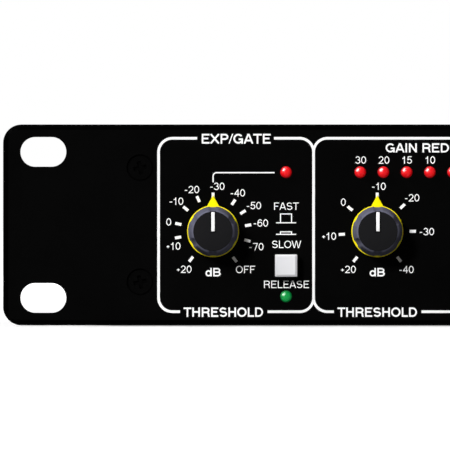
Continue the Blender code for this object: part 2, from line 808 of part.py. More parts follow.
# ---------------------------------------------------------------- mains switch
def mains_switch(front):
    """Snap-in housing with its bezel, and the rocker on its axle."""
    w, h, depth = SWITCH_BODY
    bezel = SWITCH_BEZEL
    y = KNOB_Y
    bm = bmesh.new()
    add_box(
        bm,
        (-bezel[0] / 2, -bezel[1] / 2, SEAT_GAP),
        (bezel[0] / 2, bezel[1] / 2, SEAT_GAP + bezel[2]),
        BEZEL_CORNER,
        2,
    )
    housing = place(
        "power_switch", to_mesh("bezel", bm), MOULDING, front, (SWITCH_X, y, 0)
    )
    join(housing, box((-w / 2, -h / 2, -depth), (w / 2, h / 2, SEAT_GAP + OVERLAP)))
    cw, ch = SWITCH_CAVITY
    cut(
        housing,
        box(
            (-cw / 2, -ch / 2, -SWITCH_CAVITY_DEPTH),
            (cw / 2, ch / 2, SEAT_GAP + bezel[2] + OVERLAP),
        ),
    )
    pin = bmesh.new()
    add_cylinder(
        pin, (0, 0), AXLE_RADIUS + RUN_GAP, -AXLE_LENGTH / 2 - RUN_GAP,
        AXLE_LENGTH / 2 + RUN_GAP, 12,
    )
    socket = to_mesh("socket", pin)
    socket.transform(at(0, 0, -ROCKER_AXLE) @ Matrix.Rotation(math.pi / 2, 4, "Y"))
    cut(housing, socket)

    axis = empty("rocker_axis", (SWITCH_X, y, -ROCKER_AXLE), parent=front)
    side = ROCKER_HEIGHT / 2
    rise = ROCKER_FACE + side * math.tan(ROCKER_ANGLE)
    bm = bmesh.new()
    w = ROCKER_WIDTH / 2
    add_box(bm, (-w, -side, -ROCKER_BACK), (w, side, rise))
    bmesh.ops.bisect_plane(
        bm, geom=bm.verts[:] + bm.edges[:] + bm.faces[:], plane_co=(0, 0, 0),
        plane_no=(0, 1, 0),
    )
    for vert in bm.verts:
        if abs(vert.co.y) < 1e-6:
            vert.co.z = ROCKER_FACE if vert.co.z > 0 else -2 * ROCKER_BACK
    bm.verts.ensure_lookup_table()
    rocker = place("power_rocker", to_mesh("rocker", bm), MOULDING, axis)
    rocker.rotation_euler = (ROCKER_ANGLE, 0, 0)
    axle = bmesh.new()
    add_cylinder(axle, (0, 0), AXLE_RADIUS, -AXLE_LENGTH / 2, AXLE_LENGTH / 2, 12)
    mesh = to_mesh("axle", axle)
    mesh.transform(Matrix.Rotation(math.pi / 2, 4, "Y"))
    join(rocker, mesh)


# ---------------------------------------------------------------- case
def standoff_places():
    """(x, depth) of the posts under the main board."""
    xs = (
        MAIN_BOARD_LEFT + STANDOFF_INSET,
        (MAIN_BOARD_LEFT + MAIN_BOARD_RIGHT) / 2,
        MAIN_BOARD_RIGHT - STANDOFF_INSET,
    )
    depths = (MAIN_BOARD_FRONT + STANDOFF_INSET, MAIN_BOARD_REAR - STANDOFF_INSET)
    return [(x, depth) for x in xs for depth in depths]


def folded(name, low, high, open_sides):
    """A box of bent sheet, open at the sides named by their normals.

    The corners given are the outside of the sheet.
    """
    bm = bmesh.new()
    add_box(bm, low, high)
    bm.normal_update()
    gone = [
        f for f in bm.faces
        if any((f.normal - Vector(side)).length < 0.1 for side in open_sides)
    ]
    bmesh.ops.delete(bm, geom=gone, context="FACES")
    bends = [e for e in bm.edges if len(e.link_faces) == 2]
    bmesh.ops.bevel(
        bm,
        geom=bends,
        offset=BEND_RADIUS,
        segments=2,
        profile=0.5,
        affect="EDGES",
        material=-1,
    )
    mesh = bpy.data.meshes.new(name)
    bm.to_mesh(mesh)
    bm.free()
    obj = place(name, mesh, CASE_PAINT)
    wall = obj.modifiers.new("Sheet", "SOLIDIFY")
    wall.thickness = SHEET
    wall.offset = -1.0
    wall.use_even_offset = True
    return obj


def add_slot(bm, centre, length, width, low, high, axis=2):
    """A slot with round ends, along Y, cut along the given axis."""
    if axis == 2:
        corners = (
            (centre[0] - width / 2, centre[1] - length / 2, low),
            (centre[0] + width / 2, centre[1] + length / 2, high),
        )
    else:
        corners = (
            (low, centre[0] - width / 2, centre[1] - length / 2),
            (high, centre[0] + width / 2, centre[1] + length / 2),
        )
    add_box(bm, *corners, 0.98 * width / 2, 2, axis)


def chassis_tray():
    """Floor and side walls of folded sheet, with front flanges and board posts."""
    front, rear = FRONT_Y + CASE_FRONT, REAR_Y
    half = HALF_CASE
    bottom, top = MID_Z + CASE_BOTTOM, MID_Z + WALL_TOP
    tray = folded(
        "chassis_tray",
        (-half, front, bottom),
        (half, rear, top),
        ((0, 0, 1), (0, -1, 0), (0, 1, 0)),
    )
    fittings, holes = bmesh.new(), bmesh.new()
    floor = MID_Z + FLOOR
    for side in (-1, 1):
        xs = sorted((side * (half - FLANGE_WIDTH), side * (half - SHEET / 2)))
        low = (xs[0], front + SEAT_GAP / 10, floor + SHEET)
        high = (xs[1], front + SHEET, top - SHEET)
        add_box(fittings, low, high)
    for x, depth in standoff_places():
        add_cylinder(
            fittings, (x, FRONT_Y + depth), STANDOFF_RADIUS, floor - SHEET / 2,
            floor + STANDOFF_HEIGHT, 8,
        )
    join(tray, to_mesh("fittings", fittings))
    for side in (-1, 1):
        wall = side * half
        for i in range(SIDE_VENTS):
            depth = FRONT_Y + SIDE_VENT_START + i * VENT_PITCH
            add_slot(
                holes, (depth, MID_Z - SHEET), SIDE_VENT_LENGTH, VENT_WIDTH,
                wall - 2 * SHEET, wall + 2 * SHEET, 0,
            )
    cut(tray, to_mesh("side_vents", holes))
    bore = bmesh.new()
    add_cylinder(bore, (0, 0), SCREW_RADIUS + RUN_GAP, -SHEET, SHEET, SCREW_STEPS)
    hole = to_mesh("screw_hole", bore)
    turn = Matrix.Rotation(math.pi / 2, 4, "X")
    spots = [
        at(sx * SCREW_X, front + SHEET / 2, MID_Z + sy * SCREW_Y) @ turn
        for sx in (-1, 1)
        for sy in (-1, 1)
    ]
    cut(tray, gathered([(hole, spot) for spot in spots]))


def top_cover():
    """Lid of folded sheet whose lips lie outside the tray, with vents."""
    front, rear = FRONT_Y + CASE_FRONT, REAR_Y
    half = HALF_CASE + SEAT_GAP + SHEET
    top = MID_Z + CASE_HEIGHT / 2
    cover = folded(
        "top_cover",
        (-half, front, top - COVER_LIP),
        (half, rear, top),
        ((0, 0, -1), (0, -1, 0), (0, 1, 0)),
    )
    slots = bmesh.new()
    first = TORUS_X - (VENTS_PER_ROW - 1) * VENT_PITCH / 2
    for depth in (TORUS_DEPTH - VENT_ROW_PITCH / 2, TORUS_DEPTH + VENT_ROW_PITCH / 2):
        for i in range(VENTS_PER_ROW):
            centre = (first + i * VENT_PITCH, FRONT_Y + depth)
            add_slot(
                slots, centre, VENT_LENGTH, VENT_WIDTH, top - 2 * SHEET, top + SHEET
            )
    cut(cover, to_mesh("vents", slots))


def rear_panel(rear):
    """Rear plate with side and top flanges and the connector holes."""
    half = HALF_CASE - SHEET - SEAT_GAP
    low = (-half, REAR_Y - REAR_FLANGE, MID_Z + FLOOR + SEAT_GAP)
    high = (half, REAR_Y, MID_Z + WALL_TOP)
    panel = folded("rear_panel", low, high, ((0, 0, -1), (0, -1, 0)))
    holes = bmesh.new()
    z = (-4 * SHEET, OVERLAP)
    for _, jack, output, input_ in rear_places():
        add_cylinder(holes, (jack, 0), JACK_NOSE + SEAT_GAP, *z, SHAFT_STEPS)
        for x in (output, input_):
            add_cylinder(holes, (x, 0), XLR_BARREL + SEAT_GAP, *z, XLR_STEPS)
    w, h = INLET_BODY[0] / 2 + SEAT_GAP, INLET_BODY[1] / 2 + SEAT_GAP
    add_box(holes, (-INLET_X - w, -h, z[0]), (-INLET_X + w, h, z[1]))
    mesh = to_mesh("connector_holes", holes)
    mesh.transform(rear.matrix_basis)
    cut(panel, mesh)


def rear_places():
    """(channel, jack x, output x, input x) in the rear face's frame."""
    found = []
    for i, (channel, _) in enumerate(CHANNELS):
        x = REAR_CHANNEL_X + i * REAR_CHANNEL_PITCH
        found.append((channel, -x, -x - OUTPUT_OFFSET, -x - INPUT_OFFSET))
    return found


# ---------------------------------------------------------------- main board
def main_board():
    """Horizontal board on its posts, with the parts that the circuit needs."""
    z0 = MID_Z + MAIN_BOARD_Z
    z1 = z0 + BOARD_THICKNESS
    y0, y1 = FRONT_Y + MAIN_BOARD_FRONT, FRONT_Y + MAIN_BOARD_REAR
    board = place(
        "main_board",
        box((MAIN_BOARD_LEFT, y0, z0), (MAIN_BOARD_RIGHT, y1, z1)),
        BOARD_GREEN,
    )
    parts = bmesh.new()
    seat = z1 - OVERLAP
    for i in range(2):  # smoothing capacitors, each with its regulator's heatsink
        x, y = MAIN_BOARD_RIGHT - SUPPLY_INSET, y0 + SUPPLY_FRONT + i * SUPPLY_PITCH
        add_cylinder(parts, (x, y), CAPACITOR[0], seat, z1 + CAPACITOR[1], SHAFT_STEPS)
        x = MAIN_BOARD_RIGHT - HEATSINK_INSET
        w, d, h = HEATSINK
        add_box(parts, (x - w / 2, y - d / 2, seat), (x + w / 2, y + d / 2, z1 + h))
    for column in range(CIRCUIT_COUNT[0]):  # amplifiers and gain cells
        x = MAIN_BOARD_LEFT + CIRCUIT_INSET + column * CIRCUIT_PITCH[0]
        for row in range(CIRCUIT_COUNT[1]):
            y = y0 + CIRCUIT_INSET + row * CIRCUIT_PITCH[1]
            w, d, h = CHIP
            add_box(parts, (x - w / 2, y - d / 2, seat), (x + w / 2, y + d / 2, z1 + h))
            centre = (x + COUPLING_OFFSET, y)
            add_cylinder(parts, centre, COUPLING[0], seat, z1 + COUPLING[1], 8)
    w = RIBBON_WIDTH / 2
    y = y0 + HEADER_INSET
    add_box(
        parts,
        (RIBBON_X - w, y - HEADER_HEIGHT / 2, seat),
        (RIBBON_X + w, y + HEADER_HEIGHT / 2, z1 + HEADER_DEPTH),
    )
    join(board, to_mesh("parts", parts))


def ribbon_cable():
    """Flat cable from the upright board's header down to the main board's."""
    start = FRONT_Y + CONTROL_BOARD_DEPTH + BOARD_THICKNESS + HEADER_DEPTH + SEAT_GAP
    end_y = FRONT_Y + MAIN_BOARD_FRONT + HEADER_INSET
    end_z = MID_Z + MAIN_BOARD_Z + BOARD_THICKNESS + HEADER_DEPTH + SEAT_GAP
    start_z = MID_Z
    data = bpy.data.curves.new("ribbon_cable", "CURVE")
    data.dimensions = "3D"
    data.extrude = RIBBON_WIDTH / 2 - HEADER_CHEEK
    spline = data.splines.new("POLY")
    steps = 8
    run, drop = end_y - start, start_z - end_z
    spline.points.add(steps)
    for i in range(steps + 1):
        a = i / steps * math.pi / 2
        spline.points[i].co = (run * math.sin(a), -drop * (1 - math.cos(a)), 0, 1)
    obj = bpy.data.objects.new("ribbon_path", data)
    PARTS.objects.link(obj)
    obj.rotation_euler = (math.pi / 2, 0, math.pi / 2)
    obj.location = (RIBBON_X, start, start_z)
    strip = obj.modifiers.new("Thickness", "SOLIDIFY")
    strip.thickness = RIBBON_THICKNESS
    strip.offset = 0.0
    bpy.context.view_layer.update()
    matrix = obj.matrix_world.copy()
    mesh = baked(obj)
    mesh.transform(matrix)
    place("ribbon_cable", mesh, RIBBON_GREY)


# ---------------------------------------------------------------- transformer
def transformer():
    """Ring transformer on the floor with the dished washer that clamps it."""
    x, y = TORUS_X, FRONT_Y + TORUS_DEPTH
    z = MID_Z + FLOOR + SEAT_GAP
    r, hole, edge, top = TORUS_RADIUS, TORUS_HOLE, TORUS_EDGE, TORUS_HEIGHT
    outside = [
        (r - edge + edge * math.sin(a), top - edge + edge * math.cos(a))
        for a in (0.0, math.pi / 4, math.pi / 2)
    ]
    under = [(rr, top - zz) for rr, zz in reversed(outside)]
    profile = [(hole, top), *outside, *under, (hole, 0.0)]
    place("transformer", turned(profile, TORUS_STEPS, closed=True), WINDING, None, (x, y, z))

    seat = z + top + SEAT_GAP
    washer = [
        (0, CLAMP_THICKNESS + CLAMP_NUT[1]),
        (CLAMP_NUT[0], CLAMP_THICKNESS + CLAMP_NUT[1]),
        (CLAMP_NUT[0], CLAMP_THICKNESS),
        (CLAMP_RADIUS, CLAMP_THICKNESS),
        (CLAMP_RADIUS, 0),
        (CLAMP_BOLT, 0),
        (CLAMP_BOLT, -top - SEAT_GAP),
        (0, -top - SEAT_GAP),
    ]
    clamp = turned(washer, KNOB_STEPS)
    place("transformer_clamp", clamp, STEEL, None, (x, y, seat))


def mains_cable():
    """Sheathed lead from the inlet along the side wall to the front switch."""
    start_z, end_z = MID_Z + KNOB_Y, MID_Z
    switch_back = FRONT_Y + SWITCH_BODY[2] + SEAT_GAP
    inlet_back = REAR_Y - INLET_BODY[2] - SEAT_GAP
    wall = HALF_CASE - SHEET - CABLE_RADIUS - CABLE_CLEARANCE
    low = MID_Z + FLOOR + CABLE_RADIUS + CABLE_CLEARANCE
    route = [
        (SWITCH_X, switch_back, start_z),
        (SWITCH_X, switch_back + CABLE_LEAD / 2, start_z),
        (SWITCH_X, switch_back + CABLE_LEAD, start_z),
        (wall, switch_back + CABLE_SWEEP, low),
        (wall, FRONT_Y + TORUS_DEPTH, low),
        (wall, inlet_back - CABLE_SWEEP, low),
        (INLET_X, inlet_back - CABLE_LEAD, end_z),
        (INLET_X, inlet_back - CABLE_LEAD / 2, end_z),
        (INLET_X, inlet_back, end_z),
    ]
    data = bpy.data.curves.new("mains_cable", "CURVE")
    data.dimensions = "3D"
    data.bevel_depth = CABLE_RADIUS
    data.bevel_resolution = 2
    data.use_fill_caps = True
    spline = data.splines.new("POLY")
    points = smooth_route(route, 3)
    spline.points.add(len(points) - 1)
    for point, co in zip(spline.points, points):
        point.co = (*co, 1)
    obj = bpy.data.objects.new("mains_cable", data)
    PARTS.objects.link(obj)
    data.materials.append(MOULDING)


def smooth_route(points, steps):
    """Points of a Catmull-Rom curve through the route's own points."""
    points = [Vector(p) for p in points]
    ends = [2 * points[0] - points[1], *points, 2 * points[-1] - points[-2]]
    found = []
    for a, b, c, d in zip(ends, ends[1:], ends[2:], ends[3:]):
        for i in range(steps):
            t = i / steps
            found.append(
                0.5
                * (
                    2 * b
                    + (c - a) * t
                    + (2 * a - 5 * b + 4 * c - d) * t * t
                    + (3 * b - a - 3 * c + d) * t**3
                )
            )
    return found + [points[-1]]


# ---------------------------------------------------------------- connectors
def pin_spots():
    """The three contacts of the round connectors, on their circle."""
    angles = [math.radians(a) for a in (35, 145, 270)]
    return [
        (XLR_PIN_CIRCLE * math.cos(a), XLR_PIN_CIRCLE * math.sin(a)) for a in angles
    ]


def xlr_body(name):
    """Flange and barrel that both round connectors share."""
    w, h = XLR_WIDTH / 2, XLR_HEIGHT / 2
    bm = bmesh.new()
    add_box(bm, (-w, -h, SEAT_GAP), (w, h, SEAT_GAP + XLR_FLANGE), XLR_CORNER, 3)
    body = place(name, to_mesh(name, bm), NICKEL)
    barrel = bmesh.new()
    add_cylinder(
        barrel, (0, 0), XLR_BARREL, -XLR_DEPTH, SEAT_GAP + OVERLAP, XLR_STEPS
    )
    return join(body, to_mesh("barrel", barrel))


def xlr_output_mesh():
    """Male connector: an open shell with a key slot round three pins."""
    face = SEAT_GAP + XLR_FLANGE
    body = xlr_body("xlr_output")
    mouth = bmesh.new()
    add_cylinder(
        mouth, (0, 0), XLR_MOUTH, face - XLR_CAVITY, face + OVERLAP, XLR_STEPS
    )
    cut(body, to_mesh("mouth", mouth))
    cut(
        body,
        box(
            (-KEY_WIDTH / 2, XLR_MOUTH - OVERLAP, face - KEY_LENGTH),
            (KEY_WIDTH / 2, XLR_MOUTH + KEY_DEPTH, face + OVERLAP),
        ),
    )
    pins = bmesh.new()
    for spot in pin_spots():
        add_cylinder(
            pins, spot, XLR_PIN_RADIUS, face - XLR_CAVITY - OVERLAP, face - PIN_SHY, 8
        )
    join(body, to_mesh("pins", pins))
    return baked(body)


def xlr_input_mesh():
    """Female connector: a ring groove round an insert with three holes."""
    face = SEAT_GAP + XLR_FLANGE
    body = xlr_body("xlr_input")
    floor = face - XLR_CAVITY
    groove = turned(
        [
            (XLR_INSERT, face + OVERLAP),
            (XLR_MOUTH, face + OVERLAP),
            (XLR_MOUTH, floor),
            (XLR_INSERT, floor),
        ],
        XLR_STEPS,
        closed=True,
    )
    cut(body, groove)
    holes = bmesh.new()
    for spot in pin_spots():
        add_cylinder(
            holes, spot, XLR_PIN_RADIUS + RUN_GAP, floor, face + OVERLAP, 8
        )
    cut(body, to_mesh("contact_holes", holes))
    w, h, depth = LATCH_STEM
    slot = box(
        (-w / 2 - RUN_GAP, XLR_MOUTH - RUN_GAP, face - depth - LATCH_TRAVEL - SEAT_GAP),
        (w / 2 + RUN_GAP, LATCH_Y + h + RUN_GAP, face + OVERLAP),
    )
    cut(body, slot)
    return baked(body)


def latch_mesh():
    """Push tab that frees the plug, on the stem that runs in its slot."""
    face = SEAT_GAP + XLR_FLANGE
    low = face + SEAT_GAP + LATCH_TRAVEL
    w, h, thick = LATCH_TAB
    bm = bmesh.new()
    add_box(bm, (-w / 2, 0, low), (w / 2, h, low + thick), LATCH_EDGE, 1, 0)
    latch = place("latch", to_mesh("tab", bm), STEEL)
    w, h, depth = LATCH_STEM
    join(latch, box((-w / 2, 0, face - depth), (w / 2, h, low + thick / 2)))
    return baked(latch)


def jack_mesh():
    """Quarter-inch jack: body inside, threaded nose through, ring nut outside."""
    w, h, depth = JACK_BODY
    behind = -SHEET - SEAT_GAP
    bm = bmesh.new()
    add_box(bm, (-w / 2, -h / 2, behind - depth), (w / 2, h / 2, behind))
    jack = place("jack", to_mesh("jack", bm), MOULDING)
    nut = SEAT_GAP + JACK_NUT_THICKNESS
    nose = turned(
        [
            (0, nut),
            (JACK_NUT - NUT_CHAMFER, nut),
            (JACK_NUT, nut - NUT_CHAMFER),
            (JACK_NUT, SEAT_GAP),
            (JACK_NOSE, SEAT_GAP),
            (JACK_NOSE, behind - OVERLAP),
            (0, behind - OVERLAP),
        ],
        16,
    )
    join(jack, nose)
    bore = bmesh.new()
    add_cylinder(bore, (0, 0), JACK_BORE, nut - JACK_BORE_DEPTH, nut + OVERLAP, 16)
    cut(jack, to_mesh("bore", bore))
    return baked(jack)


def audio_connectors(rear):
    """The connectors of both channels on the rear panel."""
    output, input_, latch = xlr_output_mesh(), xlr_input_mesh(), latch_mesh()
    jack = jack_mesh()
    for channel, jack_x, output_x, input_x in rear_places():
        place(f"xlr_output_{channel}", output, NICKEL, rear, (output_x, 0, 0))
        place(f"xlr_input_{channel}", input_, NICKEL, rear, (input_x, 0, 0))
        place(f"xlr_latch_{channel}", latch, STEEL, rear, (input_x, LATCH_Y, 0))
        place(f"sidechain_jack_{channel}", jack, MOULDING, rear, (jack_x, 0, 0))


def mains_inlet(rear):
    """Mains inlet with three pins, and the fuse drawer over it."""
    w, h, thick = INLET_FLANGE
    face = SEAT_GAP + thick
    bm = bmesh.new()
    add_box(bm, (-w / 2, -h / 2, SEAT_GAP), (w / 2, h / 2, face), INLET_CORNER, 3)
    inlet = place("mains_inlet", to_mesh("inlet", bm), MOULDING, rear, (-INLET_X, 0, 0))
    w, h, depth = INLET_BODY
    join(inlet, box((-w / 2, -h / 2, -depth), (w / 2, h / 2, SEAT_GAP + OVERLAP)))

    w, h = INLET_MOUTH
    y = INLET_MOUTH_Y
    floor = face - INLET_MOUTH_DEPTH
    mouth = bmesh.new()
    add_box(mouth, (-w / 2, y - h / 2, floor), (w / 2, y + h / 2, face + OVERLAP))
    upper = [
        e
        for e in mouth.edges
        if abs(e.verts[0].co.z - e.verts[1].co.z) > 0.01
        and e.verts[0].co.y > y
    ]
    bmesh.ops.bevel(
        mouth, geom=upper, offset=INLET_CUT, segments=1, profile=0.5,
        affect="EDGES", material=-1,
    )
    cut(inlet, to_mesh("mouth", mouth))
    slot = bmesh.new()
    dw, dh, dd = DRAWER
    gap = RUN_GAP
    add_box(
        slot,
        (-dw / 2 - gap, DRAWER_Y - dh / 2 - gap, face - dd - gap),
        (dw / 2 + gap, DRAWER_Y + dh / 2 + gap, face + OVERLAP),
    )
    cut(inlet, to_mesh("drawer_slot", slot))
    pins = bmesh.new()
    pw, ph, length = INLET_PIN
    spots = ((-INLET_PIN_X, -INLET_PIN_Y), (INLET_PIN_X, -INLET_PIN_Y), (0, INLET_PIN_Y))
    for px, py in spots:
        cy = y + py
        add_box(
            pins,
            (px - pw / 2, cy - ph / 2, floor - OVERLAP),
            (px + pw / 2, cy + ph / 2, floor + length),
        )
    join(inlet, to_mesh("pins", pins))

    lip = DRAWER_LIP
    drawer = place(
        "fuse_drawer",
        box((-dw / 2, -dh / 2, face - dd), (dw / 2, dh / 2, face + SEAT_GAP + OVERLAP)),
        MOULDING,
        rear,
        (-INLET_X, DRAWER_Y, 0),
    )
    bm = bmesh.new()
    low = face + SEAT_GAP
    add_box(
        bm, (-lip[0] / 2, -lip[1] / 2, low), (lip[0] / 2, lip[1] / 2, low + lip[2]),
        LIP_CORNER, 2,
    )
    join(drawer, to_mesh("lip", bm))


# ---------------------------------------------------------------- assembly
def main():
    """Builds every piece in its place."""
    quarter = math.pi / 2
    front = empty("front_face", (0, FRONT_Y, MID_Z), (quarter, 0, 0))
    rear = empty("rear_face", (0, REAR_Y, MID_Z), (quarter, 0, math.pi))
    bpy.context.view_layer.update()
    front_panel(front)
    panel_screws(front)
    knobs(front)
    lamps(front)
    buttons(front)
    control_board(front)
    mains_switch(front)
    chassis_tray()
    top_cover()
    rear_panel(rear)
    main_board()
    ribbon_cable()
    transformer()
    mains_cable()
    audio_connectors(rear)
    mains_inlet(rear)
    settle(PARTS)


main()
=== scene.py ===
"""Looks of the two-channel rack compressor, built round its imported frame."""

import json
import logging
import math
from dataclasses import dataclass, field
from enum import Enum
from functools import cache, cached_property
from typing import Callable, Iterable, Self, Sequence

import bmesh
import bpy
from mathutils import Matrix, Vector
from mathutils.bvhtree import BVHTree
from mathutils.geometry import delaunay_2d_cdt

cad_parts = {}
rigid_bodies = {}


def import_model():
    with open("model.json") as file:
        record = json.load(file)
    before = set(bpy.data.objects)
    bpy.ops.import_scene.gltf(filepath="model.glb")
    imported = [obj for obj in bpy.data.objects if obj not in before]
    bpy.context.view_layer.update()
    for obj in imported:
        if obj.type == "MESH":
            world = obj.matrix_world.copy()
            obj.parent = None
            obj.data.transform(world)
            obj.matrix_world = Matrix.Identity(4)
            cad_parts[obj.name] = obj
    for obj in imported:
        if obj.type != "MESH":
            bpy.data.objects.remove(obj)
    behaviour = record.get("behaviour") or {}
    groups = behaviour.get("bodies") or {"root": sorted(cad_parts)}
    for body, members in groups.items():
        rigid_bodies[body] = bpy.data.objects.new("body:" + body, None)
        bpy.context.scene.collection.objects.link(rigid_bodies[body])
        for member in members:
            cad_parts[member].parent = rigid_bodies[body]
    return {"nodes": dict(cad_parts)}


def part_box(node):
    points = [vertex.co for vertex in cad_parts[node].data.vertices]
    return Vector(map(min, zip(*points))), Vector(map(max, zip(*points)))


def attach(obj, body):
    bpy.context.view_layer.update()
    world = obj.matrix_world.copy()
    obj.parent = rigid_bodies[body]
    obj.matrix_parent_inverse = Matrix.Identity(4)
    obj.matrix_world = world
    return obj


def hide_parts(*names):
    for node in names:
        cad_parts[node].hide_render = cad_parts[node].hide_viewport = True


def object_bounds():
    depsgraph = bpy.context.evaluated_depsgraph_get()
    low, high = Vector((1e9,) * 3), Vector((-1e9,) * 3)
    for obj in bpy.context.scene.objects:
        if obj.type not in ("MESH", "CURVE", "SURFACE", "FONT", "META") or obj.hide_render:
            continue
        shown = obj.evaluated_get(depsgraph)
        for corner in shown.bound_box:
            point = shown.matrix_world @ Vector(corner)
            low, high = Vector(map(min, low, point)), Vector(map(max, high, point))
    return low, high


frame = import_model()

LOG = logging.getLogger("rack_compressor")
MM = 0.001
QUARTER = math.pi / 2
Point = tuple[float, float]
Size = tuple[float, float, float]
Colour = tuple[float, float, float]
Socket = bpy.types.NodeSocket

CASE_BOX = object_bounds()
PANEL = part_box("front_panel")
MIDDLE = (PANEL[0].z + PANEL[1].z) / 2
REAR_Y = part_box("rear_panel")[1].y


# ------------------------------------------------------------------ places
def at(x: float = 0.0, y: float = 0.0, z: float = 0.0) -> Matrix:
    """A matrix that only moves."""
    return Matrix.Translation((x, y, z))


def turn(angle: float, axis: str) -> Matrix:
    """A matrix that only turns, by an angle in radians about an axis."""
    return Matrix.Rotation(angle, 4, axis)


# Shapes are made in millimetres, in one of these frames. The front's runs from the
# panel's left end: x right, y up from the middle, z out. The rear's is seen from
# behind, from the middle of the width. The third is the object's own.
WORLD = Matrix.Diagonal((MM, MM, MM, 1.0))
FRONT = at(PANEL[0].x, PANEL[0].y, MIDDLE) @ turn(QUARTER, "X") @ WORLD
REAR = at(0.0, REAR_Y, MIDDLE) @ turn(math.pi, "Z") @ turn(QUARTER, "X") @ WORLD


def span(node: str, space: Matrix) -> tuple[Vector, Vector]:
    """Lowest and highest corner of a CAD node in one of the frames, in millimetres."""
    low, high = (space.inverted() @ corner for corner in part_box(node))
    return Vector(map(min, low, high)), Vector(map(max, low, high))


def middle(node: str, space: Matrix) -> Vector:
    """The middle of a CAD node in one of the frames, in millimetres."""
    return sum(span(node, space), Vector()) / 2


def over(node: str) -> Matrix:
    """Moves to the middle of a node of the front, on the panel's face."""
    return at(*middle(node, FRONT).xy)


def behind(node: str) -> Matrix:
    """The rear frame, moved across to the middle of a socket."""
    return REAR @ at(middle(node, REAR).x)


# ------------------------------------------------------------------ finishes
class Stuff(Enum):
    """The record's material slots."""

    PAINT = "black_paint"
    CASE = "case_paint"
    KNOB = "knob_black"
    SKIRT = "skirt_yellow"
    BUTTON = "button_white"
    RED = "led_red"
    GREEN = "led_green"
    SCREW = "screw_black"
    BOARD = "board_green"
    MOULDING = "moulding"
    NICKEL = "nickel"
    WINDING = "winding"
    STEEL = "steel"
    RIBBON = "ribbon_grey"


def grey(light: float) -> Colour:
    """A neutral colour."""
    return (light, light, light)


def dimmed(colour: Colour, share: float) -> Colour:
    """A share of a colour's light."""
    return tuple(part * share for part in colour)


class Nodes:
    """The nodes of a material or a world while they are being put together."""

    def __init__(self, owner: bpy.types.Material | bpy.types.World) -> None:
        """Starts from the shader that the owner is made with.

        Args:
            owner: the material or the world.
        """
        owner.use_nodes = True
        self.owner = owner
        self.tree = owner.node_tree
        self.shader = next(node for node in self.tree.nodes if node.outputs)

    @cached_property
    def place(self) -> Socket:
        """The object's own coordinates."""
        return self.add("ShaderNodeTexCoord", {}).outputs["Object"]

    def add(self, kind: str, inputs: dict, **settings: object) -> bpy.types.Node:
        """Adds a node.

        Args:
            kind: the node's type.
            inputs: values or sockets by the name or number of the node's input.
            settings: the node's own properties.

        Returns:
            The node.
        """
        node = self.tree.nodes.new(kind)
        for key, value in settings.items():
            setattr(node, key, value)
        self.feed(node, inputs)
        return node

    def feed(self, node: bpy.types.Node, inputs: dict) -> None:
        """Sets inputs of a node to values, or links them to other nodes' outputs.

        Args:
            node: the node.
            inputs: values or sockets by the name or number of the node's input.
        """
        for key, value in inputs.items():
            socket = node.inputs[key]
            if isinstance(value, Socket):
                self.tree.links.new(value, socket)
            elif socket.type == "RGBA":
                socket.default_value = (*value, 1.0)
            else:
                socket.default_value = value

    def shade(self, inputs: dict) -> None:
        """Sets or links inputs of the shader."""
        self.feed(self.shader, inputs)

    def mapped(self, **inputs: Size) -> Socket:
        """Object coordinates, moved or stretched by a Mapping node."""
        return self.add("ShaderNodeMapping", {"Vector": self.place, **inputs}).outputs["Vector"]

    def axis(self, name: str) -> Socket:
        """One of the object coordinates."""
        return self.add("ShaderNodeSeparateXYZ", {"Vector": self.place}).outputs[name]

    def noise(self, scale: float, detail: float = 3.0, vector: Socket | None = None) -> Socket:
        """Noise of that many cells a metre, as a number from 0 to 1."""
        inputs = {"Vector": vector or self.place, "Scale": scale, "Detail": detail}
        return self.add("ShaderNodeTexNoise", inputs).outputs["Fac"]

    def spread(self, value: Socket, start: Point, end: Point = (0.0, 1.0)) -> Socket:
        """Carries a number from one range over to another, kept inside it."""
        limits = dict(zip(("From Min", "From Max", "To Min", "To Max"), (*start, *end)))
        return self.add("ShaderNodeMapRange", {"Value": value, **limits}).outputs["Result"]

    def maths(self, kind: str, *values: object) -> Socket:
        """The result of one Math node."""
        return self.add("ShaderNodeMath", dict(enumerate(values)), operation=kind).outputs["Value"]

    def mixed(self, share: object, first: object, second: object) -> Socket:
        """A colour between two others, the first where the share is 0."""
        # A Mix node's inputs 6 and 7 and its output 2 are the ones for colours.
        inputs = {0: share, 6: first, 7: second}
        return self.add("ShaderNodeMix", inputs, data_type="RGBA").outputs[2]

    def attribute(self, name: str) -> Socket:
        """A number that the piece's own mesh carries."""
        return self.add("ShaderNodeAttribute", {}, attribute_name=name).outputs["Fac"]

    def bump(self, height: Socket, depth: float) -> None:
        """Raises the surface by a height from 0 to 1 times a depth in metres."""
        inputs = {"Height": height, "Distance": depth, "Strength": 1.0}
        self.shade({"Normal": self.add("ShaderNodeBump", inputs).outputs["Normal"]})

    def rays(self, mirrored: float, dim: float = 0.0) -> Socket:
        """How bright the studio's white is for the kind of ray that meets it.

        Args:
            mirrored: brightness in a mirror.
            dim: brightness that lights surfaces.

        Returns:
            The brightness, which is 1 for what is seen directly.
        """
        kinds = self.add("ShaderNodeLightPath", {}).outputs
        seen = self.maths("MULTIPLY_ADD", kinds["Is Glossy Ray"], mirrored - dim, dim)
        for kind in ("Is Camera Ray", "Is Transmission Ray"):
            seen = self.maths("MAXIMUM", seen, kinds[kind])
        return seen


